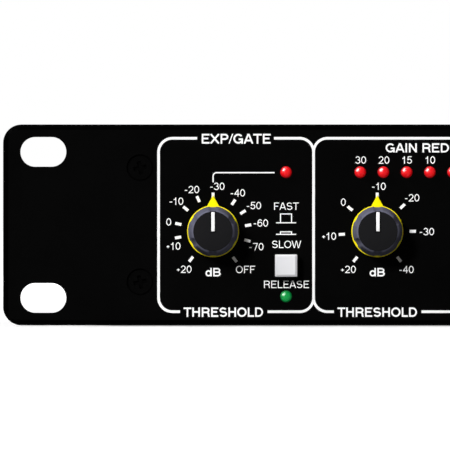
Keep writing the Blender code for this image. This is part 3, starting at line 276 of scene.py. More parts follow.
@dataclass(frozen=True)
class Finish:
    """A painted, moulded or plated surface with fine grain and faint mottling.

    The colour runs to the shade in cloudy patches, and the roughness runs over its
    range with them. Faces that carry the mark attribute take the painted_shading
    colour, a painted light or painted shade that stands in for how light falls on them.
    Grain and patches are in cells a metre, and the grain's depth is in metres.
    """

    name: str
    slot: Stuff | None
    colour: Colour
    shade: Colour
    roughness: Point
    grain: float
    depth: float
    patches: float = 90.0
    metallic: float = 0.0
    specular: float = 0.5
    painted_shading: Colour | None = None

    @cache
    def material(self) -> bpy.types.Material:
        """Makes the material, once.

        Returns:
            The material.
        """
        nodes = Nodes(bpy.data.materials.new(self.name))
        nodes.shade({"Metallic": self.metallic, "Specular IOR Level": self.specular})
        clouds = nodes.spread(nodes.noise(self.patches, 4.0), (0.35, 0.65))
        colour = nodes.mixed(clouds, self.colour, self.shade)
        # Painted shading: faces with the mark attribute take a lighter or darker colour that
        # stands in for light or shade.
        if self.painted_shading is not None:
            colour = nodes.mixed(nodes.attribute("mark"), colour, self.painted_shading)
        nodes.shade({"Base Color": self.patterned(nodes, colour)})
        worn = nodes.spread(nodes.noise(self.patches * 3.0, 5.0), (0.3, 0.7), self.roughness)
        nodes.shade({"Roughness": worn})
        nodes.bump(self.relief(nodes), self.depth)
        self.finishing(nodes)
        return nodes.owner

    def patterned(self, nodes: Nodes, colour: Socket) -> Socket:
        """The colour with the finish's own pattern in it; plain surfaces have none."""
        return colour

    def relief(self, nodes: Nodes) -> Socket:
        """Height of the surface from 0 to 1."""
        return nodes.noise(self.grain, 2.0)

    def finishing(self, nodes: Nodes) -> None:
        """Last changes, of which a plain surface has none."""


@dataclass(frozen=True)
class Brushed(Finish):
    """Metal with the fine lines of a brush or a lathe along one axis."""

    along: int = 0
    stretch: float = 60.0

    def relief(self, nodes: Nodes) -> Socket:
        """Long thin streaks."""
        scale = [self.grain / (self.stretch if i == self.along else 1.0) for i in range(3)]
        return nodes.noise(1.0, 3.0, nodes.mapped(Scale=scale))


@dataclass(frozen=True)
class Glowing(Finish):
    """Tinted resin of a lamp that is lit from inside, brightest at its middle."""

    glow: Colour = (1.0, 0.0, 0.0)
    strength: float = 0.2
    rim: float = 0.3

    def finishing(self, nodes: Nodes) -> None:
        """Adds the light of the chip behind the resin.

        Args:
            nodes: the material's nodes.
        """
        core = nodes.spread(nodes.attribute("glow"), (0.0, 1.0), (0.2, 1.0))
        cells = nodes.spread(nodes.noise(self.grain, 2.0), (0.3, 0.7), (0.9, 1.0))
        light = nodes.maths("MULTIPLY", core, cells)
        lit = nodes.mixed(light, dimmed(self.glow, self.rim), self.glow)
        nodes.shade({"Emission Color": lit, "Emission Strength": self.strength})


@dataclass(frozen=True)
class Laminate(Finish):
    """Circuit board: solder mask over copper tracks, as square-cornered runs."""

    track: Colour = (0.012, 0.16, 0.055)
    cells: float = 62.992126
    rings: float = 42.0

    def relief(self, nodes: Nodes) -> Socket:
        """The tracks, which stand a little proud.

        Args:
            nodes: the material's nodes.

        Returns:
            Share of copper under the mask.
        """
        inputs = {"Vector": nodes.place, "Scale": self.cells, "Randomness": 0.75}
        cells = nodes.add("ShaderNodeTexVoronoi", inputs, distance="CHEBYCHEV", feature="F1")
        phase = nodes.maths("MULTIPLY", cells.outputs["Distance"], self.rings)
        return nodes.spread(nodes.maths("SINE", phase), (0.1, 0.35))

    def patterned(self, nodes: Nodes, colour: Socket) -> Socket:
        """Lighter green where the copper lies under the mask."""
        return nodes.mixed(self.relief(nodes), colour, self.track)


@dataclass(frozen=True)
class Taped(Finish):
    """Film tape wound round a ring in overlapping turns about a vertical axis."""

    centre: Point = (0.0, 0.0)
    turns: float = 46.0
    lean: float = 6.0

    def relief(self, nodes: Nodes) -> Socket:
        """A saw-tooth that rises across each turn of the tape.

        Args:
            nodes: the material's nodes.

        Returns:
            The height, since each turn lies on the one before.
        """
        spot = nodes.mapped(Location=(-self.centre[0], -self.centre[1], 0.0))
        parts = nodes.add("ShaderNodeSeparateXYZ", {"Vector": spot}).outputs
        angle = nodes.maths("ARCTAN2", parts["Y"], parts["X"])
        slope = nodes.maths("MULTIPLY", parts["Z"], self.lean)
        wound = nodes.maths("MULTIPLY", nodes.maths("ADD", angle, slope), self.turns / math.tau)
        return nodes.maths("FRACT", wound)

    def patterned(self, nodes: Nodes, colour: Socket) -> Socket:
        """Darker along each lap."""
        edge = nodes.spread(self.relief(nodes), (0.0, 0.18), (1.0, 0.0))
        return nodes.mixed(edge, colour, dimmed(self.shade, 0.45))


@dataclass(frozen=True)
class Striped(Finish):
    """Flat cable of many wires side by side along X, with one coloured edge."""

    start: float = 0.0
    pitch: float = 0.00127
    edge: Colour = (0.5, 0.02, 0.02)

    def relief(self, nodes: Nodes) -> Socket:
        """A round hump over each wire.

        Args:
            nodes: the material's nodes.

        Returns:
            The height.
        """
        along = nodes.maths("SUBTRACT", nodes.axis("X"), self.start)
        phase = nodes.maths("MULTIPLY", along, math.pi)
        wave = nodes.maths("SINE", nodes.maths("DIVIDE", phase, self.pitch))
        return nodes.maths("ABSOLUTE", wave)

    def patterned(self, nodes: Nodes, colour: Socket) -> Socket:
        """Paints shade into the grooves between the wires, and colours the first wire.

        Args:
            nodes: the material's nodes.
            colour: the cable's colour.

        Returns:
            The colour with both.
        """
        # Painted shade: the grooves between the wires take a darker colour.
        groove = nodes.spread(self.relief(nodes), (0.0, 0.4), (0.6, 0.0))
        groove_shaded = nodes.mixed(groove, colour, dimmed(self.shade, 0.4))
        first = nodes.maths("LESS_THAN", nodes.axis("X"), self.start + self.pitch)
        return nodes.mixed(first, groove_shaded, self.edge)


# Painted shade: the rounded rim and the sides take a near-black colour, darker than the face,
# which paints the shade of the edge.
PAINT = Finish(
    "panel_paint", Stuff.PAINT, grey(0.0019), grey(0.0015), (0.5, 0.6), 3200.0, 12e-6,
    specular=0.006, painted_shading=grey(0.0001),
)
CASE = Finish(
    "case_powder_coat", Stuff.CASE, (0.011, 0.011, 0.012), (0.009, 0.009, 0.01),
    (0.625, 0.655), 1500.0, 20e-6, specular=0.16,
)
INK = Finish(
    "screen_print", None, grey(1.0), grey(0.96), (0.55, 0.65), 5000.0, 4e-6, specular=0.2
)
# Painted light: the sides and chamfer take a colour ten times lighter and bluer than the face,
# which paints their lit sheen into the plastic.
KNOB = Finish(
    "knob_plastic", Stuff.KNOB, (0.0125, 0.0125, 0.0135), (0.011, 0.011, 0.012),
    (0.42, 0.52), 2600.0, 8e-6, specular=0.0, painted_shading=(0.13, 0.132, 0.18),
)
INDEX = Finish(
    "index_white", None, grey(1.0), grey(0.96), (0.45, 0.55), 4000.0, 4e-6, specular=0.2
)
SKIRT = Finish(
    "skirt_plastic", Stuff.SKIRT, (1.0, 0.87, 0.0), (0.96, 0.8, 0.0),
    (0.35, 0.45), 3000.0, 5e-6, specular=0.3,
)
BUTTON = Finish(
    "button_plastic", Stuff.BUTTON, (0.78, 0.78, 0.8), (0.74, 0.74, 0.76),
    (0.4, 0.5), 3000.0, 6e-6, specular=0.2,
)
RED_LAMP = Glowing(
    "red_resin", Stuff.RED, (0.7, 0.004, 0.008), (0.65, 0.003, 0.007),
    (0.25, 0.3), 2500.0, 6e-7, specular=0.3, glow=(1.0, 0.004, 0.01),
)
GREEN_LAMP = Glowing(
    "green_resin", Stuff.GREEN, (0.0, 0.28, 0.052), (0.0, 0.25, 0.046),
    (0.25, 0.3), 2500.0, 6e-7, specular=0.3, glow=(0.0, 0.34, 0.06),
)
PAINTED_SCREW = Finish(
    "painted_screw", Stuff.SCREW, grey(0.0014), grey(0.001),
    (0.4, 0.55), 2400.0, 6e-6, specular=0.012,
)
BLACK_OXIDE = Finish(
    "black_oxide", Stuff.SCREW, (0.022, 0.022, 0.023), (0.014, 0.014, 0.015),
    (0.35, 0.5), 2400.0, 6e-6,
)
MOULDING = Finish(
    "black_moulding", Stuff.MOULDING, (0.012, 0.012, 0.0125), (0.009, 0.009, 0.0095),
    (0.38, 0.52), 1800.0, 20e-6, specular=0.4,
)
NICKEL = Finish(
    "satin_nickel", Stuff.NICKEL, (0.62, 0.6, 0.56), (0.52, 0.5, 0.47),
    (0.26, 0.38), 3000.0, 6e-6, metallic=1.0,
)
STEEL = Brushed(
    "zinc_plate", Stuff.STEEL, (0.55, 0.56, 0.58), (0.46, 0.47, 0.46),
    (0.3, 0.42), 3000.0, 6e-6, metallic=1.0,
)
SLEEVE = Finish(
    "capacitor_sleeve", None, (0.01, 0.03, 0.14), (0.008, 0.024, 0.11),
    (0.2, 0.3), 900.0, 10e-6,
)
ALUMINIUM = Brushed(
    "bare_aluminium", Stuff.STEEL, (0.7, 0.7, 0.71), (0.58, 0.58, 0.6),
    (0.28, 0.4), 2600.0, 8e-6, metallic=1.0, along=2,
)
SHEATH = Finish(
    "cable_sheath", Stuff.MOULDING, (0.014, 0.014, 0.015), (0.01, 0.01, 0.011),
    (0.42, 0.58), 700.0, 40e-6, specular=0.4,
)
BOARD = Laminate(
    "circuit_board", Stuff.BOARD, (0.006, 0.085, 0.032), (0.005, 0.07, 0.026),
    (0.25, 0.36), 1200.0, 30e-6,
)
GOLD = Finish(
    "gold_plate", Stuff.NICKEL, (0.85, 0.58, 0.2), (0.78, 0.5, 0.16),
    (0.22, 0.3), 3000.0, 3e-6, metallic=1.0,
)


# ------------------------------------------------------------------ shapes
# Thickness of the folded sheets, and the radius outside a bend.
SHEET, BEND = 1.2, 1.6


def shown(name: str, data: bpy.types.ID) -> bpy.types.Object:
    """Puts a mesh, a camera or a lamp into the scene.

    Args:
        name: its object's name.
        data: what it is.

    Returns:
        Its object.
    """
    obj = bpy.data.objects.new(name, data)
    bpy.context.scene.collection.objects.link(obj)
    return obj


class Shape:
    """A mesh under construction, with the operators that the pieces share."""

    def __init__(self, bm: bmesh.types.BMesh | None = None) -> None:
        """Starts empty, or takes over a bmesh."""
        self.bm = bm or bmesh.new()

    @classmethod
    def block(
        cls, low: Sequence[float], high: Sequence[float], edge: float = 0.0, steps: int = 2
    ) -> Self:
        """A box between two corners.

        Args:
            low: its lowest corner.
            high: its highest corner.
            edge: how much its edges are rounded.
            steps: faces across the rounding.

        Returns:
            The box.
        """
        shape = cls()
        low, high = Vector(low), Vector(high)
        size = Matrix.Diagonal((*(high - low), 1.0))
        bmesh.ops.create_cube(shape.bm, size=1.0, matrix=at(*(low + high) / 2) @ size)
        return shape.bevelled(shape.bm.edges[:], edge, steps)

    @classmethod
    def bar(
        cls, w: float, h: float, low: float, high: float, edge: float = 0.0, steps: int = 2
    ) -> Self:
        """A box of that width and height about the z axis, between two depths."""
        return cls.block((-w / 2, -h / 2, low), (w / 2, h / 2, high), edge, steps)

    @classmethod
    def plate(
        cls, outline: Sequence[Point], low: float, high: float, edge: float = 0.0, steps: int = 3
    ) -> Self:
        """A flat plate.

        Args:
            outline: its corners.
            low: height of its underside.
            high: height of its face.
            edge: how much the rim of its face is rounded.
            steps: faces across the rounding.

        Returns:
            The plate.
        """
        shape = cls()
        face = shape.bm.faces.new([shape.bm.verts.new((x, y, low)) for x, y in outline])
        face.normal_update()
        if face.normal.z > 0:
            face.normal_flip()
        top = shape.raised([face], high - low)
        rim = [e for e in shape.bm.edges if all(v in top for v in e.verts)]
        return shape.bevelled(rim, edge, steps)

    @classmethod
    def lathe(cls, profile: Sequence[Point], steps: int = 48) -> Self:
        """A turned shape about the z axis.

        Args:
            profile: points (radius, height).
            steps: faces round it.

        Returns:
            The shape.
        """
        shape = cls()
        bm = shape.bm
        verts = [bm.verts.new((r, 0.0, z)) for r, z in profile]
        edges = [bm.edges.new(pair) for pair in zip(verts, verts[1:])]
        bmesh.ops.spin(
            bm, geom=verts + edges, axis=(0, 0, 1), cent=(0, 0, 0),
            angle=math.tau, steps=steps, use_merge=True,
        )
        bmesh.ops.remove_doubles(bm, verts=bm.verts, dist=1e-4)
        return shape

    @classmethod
    def rod(
        cls, radius: float, low: float, high: float, steps: int = 32, edge: float = 0.0
    ) -> Self:
        """An upright cylinder.

        Args:
            radius: its radius.
            low: height of its foot.
            high: height of its face.
            steps: faces round it.
            edge: how much the rim of its face is rounded.

        Returns:
            The cylinder.
        """
        profile = [(0.0, low), (radius, low)]
        for i in range(4 if edge else 1):
            a = i * math.pi / 6
            profile.append((radius - edge * (1 - math.cos(a)), high - edge * (1 - math.sin(a))))
        return cls.lathe([*profile, (0.0, high)], steps)

    @classmethod
    def folded(cls, low: Vector, high: Vector, *open_sides: Size) -> Self:
        """A box of bent sheet between its outer corners.

        Args:
            low: its lowest corner.
            high: its highest corner.
            open_sides: normals of the sides that it lacks.

        Returns:
            The shape, whose sheet lies inside the corners.
        """
        shape = cls.block(low, high)
        bm = shape.bm
        bm.normal_update()
        gone = [f for f in bm.faces if any(f.normal.dot(Vector(s)) > 0.9 for s in open_sides)]
        bmesh.ops.delete(bm, geom=gone, context="FACES")
        shape.bevelled([e for e in bm.edges if len(e.link_faces) == 2], BEND, 5)
        return shape.modified("SOLIDIFY", thickness=SHEET, offset=-1.0, use_even_offset=True)

    def bevelled(self, edges: Sequence[bmesh.types.BMEdge], offset: float, steps: int) -> Self:
        """Rounds some edges.

        Args:
            edges: the edges.
            offset: how far the rounding reaches; 0 leaves them sharp.
            steps: faces across it.

        Returns:
            The shape itself.
        """
        if offset:
            bmesh.ops.bevel(
                self.bm, geom=list(edges), offset=offset, offset_type="OFFSET",
                segments=steps, profile=0.5, affect="EDGES", material=-1, clamp_overlap=True,
            )
        return self

    def raised(
        self, faces: Sequence[bmesh.types.BMFace], height: float, keep: bool = True
    ) -> list[bmesh.types.BMVert]:
        """Extrudes faces upwards.

        Args:
            faces: the faces.
            height: how far.
            keep: whether the faces stay where they were as well, as a floor.

        Returns:
            The raised faces' corners.
        """
        made = bmesh.ops.extrude_face_region(self.bm, geom=faces, use_keep_orig=keep)["geom"]
        top = [v for v in made if isinstance(v, bmesh.types.BMVert)]
        bmesh.ops.translate(self.bm, verts=top, vec=(0.0, 0.0, height))
        return top

    def moved(self, matrix: Matrix) -> Self:
        """The shape itself, moved."""
        self.bm.transform(matrix)
        return self

    def copy(self, matrix: Matrix = Matrix()) -> Self:
        """Another shape like this one, moved."""
        return Shape(self.bm.copy()).moved(matrix)

    def add(self, *others: Self) -> Self:
        """Takes other shapes in.

        Args:
            others: shapes that lie beside or in this one.

        Returns:
            The shape itself.
        """
        for other in others:
            mesh = bpy.data.meshes.new("part")
            other.bm.to_mesh(mesh)
            self.bm.from_mesh(mesh)
            bpy.data.meshes.remove(mesh)
        return self

    def cut(self, *others: Self, operation: str = "DIFFERENCE") -> Self:
        """Takes other shapes out of this one.

        Args:
            others: the shapes.
            operation: what is done with them instead, such as INTERSECT.

        Returns:
            The shape itself.
        """
        self.closed()
        tool = Shape().add(*others).closed().loose("part")
        self.modified("BOOLEAN", operation=operation, object=tool, solver="EXACT")
        bpy.data.meshes.remove(tool.data)
        return self

    def at_each(self, places: Iterable[Matrix]) -> Self:
        """Another shape, made of a copy of this one at each place."""
        return Shape().add(*[self.copy(place) for place in places])

    def crossed(self, length: float, width: float, *heights: float, edge: float = 0.0) -> Self:
        """The shape itself with a cross cut into it about the z axis, between two heights."""
        arms = [Shape.bar(*arm, *heights, edge, 1) for arm in ((length, width), (width, length))]
        return self.cut(arms[0]).cut(arms[1])

    def fused(self, *others: Self) -> Self:
        """The shape itself with others made one with it."""
        return self.cut(*others, operation="UNION")

    def loose(self, name: str) -> bpy.types.Object:
        """Puts the shape into the scene.

        Args:
            name: the name of the object and its mesh.

        Returns:
            The object.
        """
        mesh = bpy.data.meshes.new(name)
        self.bm.to_mesh(mesh)
        return shown(name, mesh)

    def modified(self, kind: str, **settings: object) -> Self:
        """Applies one modifier.

        Args:
            kind: the modifier's type.
            settings: its properties.

        Returns:
            The shape itself.
        """
        obj = self.loose("part")
        modifier = obj.modifiers.new(kind, kind)
        for key, value in settings.items():
            setattr(modifier, key, value)
        bpy.context.view_layer.update()
        graph = bpy.context.evaluated_depsgraph_get()
        made = bpy.data.meshes.new_from_object(obj.evaluated_get(graph))
        self.bm.clear()
        self.bm.from_mesh(made)
        bpy.data.meshes.remove(made)
        bpy.data.meshes.remove(obj.data)
        return self

    def closed(self) -> Self:
        """The shape itself with every face turned outwards."""
        bmesh.ops.recalc_face_normals(self.bm, faces=self.bm.faces)
        return self

    def painted_shading(self, test: Callable[[Vector], bool]) -> Self:
        """Marks the faces that take the finish's painted shading, a painted light or painted
        shade.

        Args:
            test: says of a face's middle whether the face is one of them.

        Returns:
            The shape itself.
        """
        layer = self.bm.faces.layers.float.new("mark")
        for face in self.bm.faces:
            face[layer] = float(test(face.calc_center_median()))
        return self

    def piece(
        self, name: str, finish: Finish, space: Matrix, node: str = "", body: str = "case",
        sharp: float = 35.0,
    ) -> None:
        """Ends the shape as a piece of the object, whose own place is the origin.

        Args:
            name: the piece's name.
            finish: what it is made of.
            space: the frame that the shape was made in.
            node: the CAD node that it stands for.
            body: the CAD body that it moves with.
            sharp: edges that are steeper than this many degrees stay sharp.
        """
        obj = self.closed().moved(space).loose(name)
        self.bm.free()
        obj.data.shade_smooth()
        obj.data.set_sharp_from_angle(angle=math.radians(sharp))
        obj.data.materials.append(finish.material())
        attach(obj, body)
        if node:
            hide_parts(node)
        LOG.info("%s rides on %s in %s", name, body, finish.name)


def dress(node: str, finish: Finish) -> None:
    """Gives a CAD node that stays in view its finer material.

    Args:
        node: the CAD node.
        finish: what it is made of.
    """
    mesh = frame["nodes"][node].data
    mesh.materials.clear()
    mesh.materials.append(finish.material())
    LOG.info("dressed %s in %s", node, finish.name)


def arc(
    x: float, y: float, rx: float, ry: float, start: float, end: float, steps: int = 14
) -> list[Point]:
    """Part of an oval about (x, y), from one angle in degrees anticlockwise to another."""
    turns = [math.radians(start + (end - start) * i / steps) for i in range(steps + 1)]
    return [(x + rx * math.cos(a), y + ry * math.sin(a)) for a in turns]


def oval(x: float, y: float, rx: float, ry: float) -> list[Point]:
    """A closed oval."""
    return arc(x, y, rx, ry, 90, 450, 28)


def hexagon(radius: float, start: float) -> list[Point]:
    """Outline of a nut, with a corner at that angle."""
    return arc(0, 0, radius, radius, start, start + 360, 6)[:-1]


def rounded(
    w: float, h: float, r: float, steps: int = 6, x: float = 0.0, y: float = 0.0
) -> list[Point]:
    """A rectangle with round corners.

    Args:
        w: its width.
        h: its height.
        r: radius of its corners.
        steps: lines round each corner.
        x: its middle.
        y: its middle's height.

    Returns:
        Its outline.
    """
    found: list[Point] = []
    for i, (sx, sy) in enumerate(((1, 1), (-1, 1), (-1, -1), (1, -1))):
        cx, cy = x + sx * (w / 2 - r), y + sy * (h / 2 - r)
        found += arc(cx, cy, r, r, 90 * i, 90 * i + 90, steps)
    return found


# ------------------------------------------------------------------ lettering
S_CURVE = arc(0.49, 0.745, 0.45, 0.255, 22, 235) + arc(0.51, 0.265, 0.49, 0.265, 55, -158)
# Each letter: left and right ends of its ink and its advance in thousandths of the
# type size, then its strokes in a unit box. Capitals are 718 thousandths high.
LETTERS: dict[str, tuple[int, int, int, list[list[Point]]]] = {
    " ": (0, 0, 278, []),
    "0": (37, 519, 556, [oval(0.5, 0.5, 0.5, 0.5)]),
    "1": (62, 310, 480, [[(0, 0.74), (0.6, 0.78), (1, 1.02)], [(1, 0), (1, 1)]]),
    "2": (26, 507, 556, [arc(0.5, 0.7, 0.48, 0.3, 168, -38) + [(0, -0.02), (1, -0.0)]]),
    "3": (34, 522, 556, [
        arc(0.46, 0.75, 0.43, 0.25, 165, -88), arc(0.47, 0.26, 0.52, 0.26, 88, -165),
    ]),
    "4": (25, 523, 556, [[(0.77, 0), (0.77, 1)], [(0.78, 1.02), (0, 0.3), (1, 0.3)]]),
    "5": (32, 514, 556, [
        [(0.92, 1), (0.2, 1), (0.07, 0.46)], arc(0.48, 0.315, 0.52, 0.315, 145, -160),
    ]),
    "6": (38, 518, 556, [oval(0.5, 0.31, 0.5, 0.31), arc(0.53, 0.5, 0.53, 0.5, 195, 42)]),
    "7": (37, 523, 556, [[(0, 1), (0.98, 1), (0.36, -0.08)]]),
    "A": (14, 654, 667, [
        [(-0.05, -0.15), (0.5, 1.15), (1.05, -0.15)], [(0.16, 0.28), (0.84, 0.28)],
    ]),
    "B": (74, 627, 667, [
        [(0, 0), (0, 1), (0.55, 1), *arc(0.55, 0.755, 0.38, 0.245, 90, -90), (0, 0.51)],
        [(0, 0.51), (0.57, 0.51), *arc(0.57, 0.255, 0.43, 0.255, 90, -90), (0, 0)],
    ]),
    "C": (44, 681, 722, [arc(0.52, 0.5, 0.52, 0.5, 38, 322, 18)]),
    "D": (81, 674, 722, [
        [(0, 0), (0, 1), (0.42, 1), *arc(0.42, 0.5, 0.58, 0.5, 90, -90), (0, 0)],
    ]),
    "E": (86, 616, 667, [[(1, 1), (0, 1), (0, 0), (1, 0)], [(0, 0.53), (0.93, 0.53)]]),
    "F": (86, 583, 611, [[(1, 1), (0, 1), (0, 0)], [(0, 0.5), (0.86, 0.5)]]),
    "G": (48, 709, 778, [
        arc(0.52, 0.5, 0.52, 0.5, 40, 322, 18), [(0.56, 0.44), (1, 0.44), (1, 0)],
    ]),
    "H": (77, 646, 722, [[(0, 0), (0, 1)], [(1, 0), (1, 1)], [(0, 0.53), (1, 0.53)]]),
    "I": (91, 188, 278, [[(0.5, 0), (0.5, 1)]]),
    "K": (76, 663, 667, [
        [(0, 0), (0, 1)], [(1.02, 1.1), (0, 0.36)], [(0.32, 0.62), (1.06, -0.1)],
    ]),
    "L": (76, 537, 556, [[(0, 1), (0, 0), (1, 0)]]),
    "M": (73, 761, 833, [
        [(0, 0), (0, 1)], [(1, 0), (1, 1)], [(0, 1.08), (0.5, -0.06), (1, 1.08)],
    ]),
    "N": (76, 646, 722, [[(0, 0), (0, 1)], [(1, 0), (1, 1)], [(-0.04, 1.1), (1.04, -0.1)]]),
    "O": (39, 739, 778, [oval(0.5, 0.5, 0.5, 0.5)]),
    "P": (86, 622, 667, [
        [(0, 0), (0, 1), (0.56, 1), *arc(0.56, 0.73, 0.44, 0.27, 90, -90), (0, 0.46)],
    ]),
    "R": (88, 684, 722, [
        [(0, 0), (0, 1), (0.56, 1), *arc(0.56, 0.74, 0.4, 0.26, 90, -90), (0, 0.48)],
        [(0.5, 0.48), (0.8, 0.44), (0.9, 0.32), (0.93, 0.06), (1.0, -0.05)],
    ]),
    "S": (49, 620, 667, [S_CURVE]),
    "T": (14, 597, 611, [[(0, 1), (1, 1)], [(0.5, 0), (0.5, 1)]]),
    "U": (79, 644, 722, [[(0, 1), (0, 0.38), *arc(0.5, 0.38, 0.5, 0.38, 180, 360), (1, 1)]]),
    "W": (16, 928, 944, [
        [(-0.04, 1.15), (0.25, -0.15), (0.5, 1.15), (0.75, -0.15), (1.04, 1.15)],
    ]),
    "X": (19, 648, 667, [[(-0.05, -0.08), (1.05, 1.08)], [(-0.05, 1.08), (1.05, -0.08)]]),
    "Y": (14, 653, 667, [[(-0.06, 1.1), (0.5, 0.42), (1.06, 1.1)], [(0.5, 0.48), (0.5, 0)]]),
    "-": (4, 249, 333, [[(0, 0.37), (1, 0.37)]]),
    "+": (-10, 270, 350, [[(0, 0.4), (1, 0.4)], [(0.5, 0.2), (0.5, 0.6)]]),
    ":": (87, 191, 278, [[(0.5, -0.08), (0.5, 0.08)], [(0.5, 0.52), (0.5, 0.68)]]),
    ".": (87, 191, 278, [[(0.5, -0.08), (0.5, 0.08)]]),
    "/": (-17, 295, 278, [[(0, -0.06), (1, 1.06)]]),
    "d": (35, 499, 556, [oval(0.48, 0.34, 0.48, 0.34), [(1, 0), (1, 1)]]),
    "m": (65, 768, 833, [
        [(0, 0), (0, 0.7)],
        [(0, 0.44), *arc(0.25, 0.44, 0.25, 0.24, 180, 0), (0.5, 0)],
        [(0.5, 0.44), *arc(0.75, 0.44, 0.25, 0.24, 180, 0), (1, 0)],
    ]),
    "s": (32, 464, 500, [[(x, y * 0.68) for x, y in S_CURVE]]),
}
CAPITAL = 718.0
STEM = 84.0
ROUNDING = 16
# Width of a word against its letters' advance, of a slash's stroke against the
# others', and how far a letter grows on each side with its stroke.
TIGHT, THIN, SWELL = 0.975, 0.6, 0.25


class Weight(Enum):
    """Stroke of the letters in thousandths of the type size."""

    REGULAR = 83.0
    BOLD = 125.0


def advance(words: str) -> int:
    """Room that words take, in thousandths of the type size."""
    return sum(LETTERS[sign][2] for sign in words)


@dataclass
class Print:
    """White ink on a face, gathered as flat strokes in millimetres.

    Args:
        proud: how far the ink stands out of the face, in millimetres.
    """

    proud: float = 0.035
    corners: list[Vector] = field(default_factory=list)
    faces: list[list[int]] = field(default_factory=list)

    def stroke(self, points: Sequence[Point], width: float) -> None:
        """Draws a line with flat ends and mitred corners.

        Args:
            points: what it runs through, the first again as the last if it is closed.
            width: its width.
        """
        closed = math.dist(points[0], points[-1]) < 1e-6
        spots = [Vector(points[0])]
        spots += [Vector(b) for a, b in zip(points, points[1:]) if math.dist(a, b) > 1e-4]
        count = len(spots)
        base = len(self.corners)
        for i, spot in enumerate(spots):
            before = spots[i - 1] if i else (spots[-2] if closed else None)
            after = spots[i + 1] if i + 1 < count else (spots[1] if closed else None)
            ways = [
                (b - a).normalized().orthogonal()
                for a, b in ((before, spot), (spot, after))
                if a is not None and b is not None
            ]
            mean = sum(ways, Vector((0, 0))).normalized()
            side = mean * (width / 2 / max(mean.dot(ways[0]), 0.3))
            self.corners += [spot + side, spot - side]
        for i in range(base, base + 2 * count - 2, 2):
            for corners in ([i, i + 1, i + 3], [i, i + 3, i + 2]):
                a, b, c = (self.corners[n] for n in corners)
                area = (b - a).cross(c - a)
                if abs(area) > 1e-8:
                    self.faces.append(corners if area > 0 else corners[::-1])

    def round_line(self, points: Sequence[Point], radius: float, width: float) -> None:
        """Draws a line whose inner corners are rounded.

        Args:
            points: its ends and corners.
            radius: radius of the rounding.
            width: width of the line.
        """
        path = [points[0]]
        for a, b, c in zip(points, points[1:], points[2:]):
            a, b, c = Vector(a), Vector(b), Vector(c)
            first, second = (a - b).normalized(), (c - b).normalized()
            reach = radius / math.tan(first.angle(second) / 2)
            start, end = b + first * reach, b + second * reach
            centre = b + (first + second).normalized() * math.hypot(radius, reach)
            for i in range(ROUNDING + 1):
                leg = start.lerp(end, i / ROUNDING) - centre
                path.append(tuple(centre + leg.normalized() * radius))
        self.stroke([*path, points[-1]], width)

    def text(
        self, words: str, x: float, y: float, height: float,
        weight: Weight = Weight.REGULAR, width: float | None = None,
    ) -> None:
        """Sets words about a middle.

        Args:
            words: what it says.
            x: middle of the ink, in millimetres.
            y: middle of the capitals' height.
            height: height of a capital.
            weight: how heavy the letters are.
            width: width of the ink where it is set to a measure.
        """
        scale = height / CAPITAL
        start, (_, end, last, _) = LETTERS[words[0]][0], LETTERS[words[-1]]
        total = advance(words) - start - (last - end)
        squeeze = TIGHT if words.isalpha() else 1.0
        if width is not None:
            squeeze = width / (total * scale)
        pen = x - total * scale * squeeze / 2 - start * scale * squeeze
        for sign in words:
            if sign != " ":
                self.letter(sign, pen, y - height / 2, scale, squeeze, weight)
            pen += advance(sign) * scale * squeeze

    def letter(
        self, sign: str, x: float, y: float, scale: float, squeeze: float, weight: Weight
    ) -> None:
        """Draws one letter.

        Args:
            sign: the letter.
            x: left end of its room.
            y: foot of the capitals.
            scale: millimetres for a thousandth of the type size.
            squeeze: its width against the usual one.
            weight: how heavy it is.
        """
        left, right, _, strokes = LETTERS[sign]
        pen = weight.value * scale * (THIN if sign == "/" else 1.0)
        heavier = (weight.value - STEM) * SWELL
        low = (left - heavier) * scale * squeeze
        high = (right + heavier) * scale * squeeze
        top = CAPITAL * scale
        ink = Print()
        for points in strokes:
            placed = [
                Vector((low + pen / 2 + u * (high - low - pen), pen / 2 + v * (top - pen)))
                for u, v in points
            ]
            for end, beside in ((0, 1), (-1, -2)):
                if points[0] != points[-1] and {*points[end]} & {0, 1}:
                    placed[end] += (placed[end] - placed[beside]).normalized() * pen / 2
            ink.stroke(placed, pen)
        flat = ink.flat()
        sides = (
            ((low, 0, 0), (-1, 0, 0)), ((high, 0, 0), (1, 0, 0)),
            ((0, 0, 0), (0, -1, 0)), ((0, top, 0), (0, 1, 0)),
        )
        for spot, normal in sides:
            bmesh.ops.bisect_plane(
                flat, geom=flat.verts[:] + flat.edges[:] + flat.faces[:], dist=1e-6,
                plane_co=spot, plane_no=normal, clear_outer=True,
            )
        base = len(self.corners)
        flat.verts.index_update()
        self.corners += [Vector((v.co.x + x, v.co.y + y)) for v in flat.verts]
        inked = [f for f in flat.faces if f.calc_area() > 1e-8]
        self.faces += [[base + v.index for v in f.verts] for f in inked]
        flat.free()

    def flat(self) -> bmesh.types.BMesh:
        """Lays the strokes together.

        Returns:
            One flat sheet without overlaps.
        """
        inked = BVHTree.FromPolygons([(*p, 0.0) for p in self.corners], self.faces)
        verts, _, faces, *_ = delaunay_2d_cdt(self.corners, [], self.faces, 0, 1e-5)
        bm = bmesh.new()
        made = [bm.verts.new((v.x, v.y, 0.0)) for v in verts]
        for corners in faces:
            centre = sum((made[i].co for i in corners), Vector()) / len(corners)
            above = centre + Vector((0.0, 0.0, 1.0))
            if len(set(corners)) > 2 and inked.ray_cast(above, Vector((0.0, 0.0, -1.0)))[0]:
                bm.faces.new([made[i] for i in corners])
        bmesh.ops.delete(bm, geom=[v for v in bm.verts if not v.link_faces], context="VERTS")
        return bm

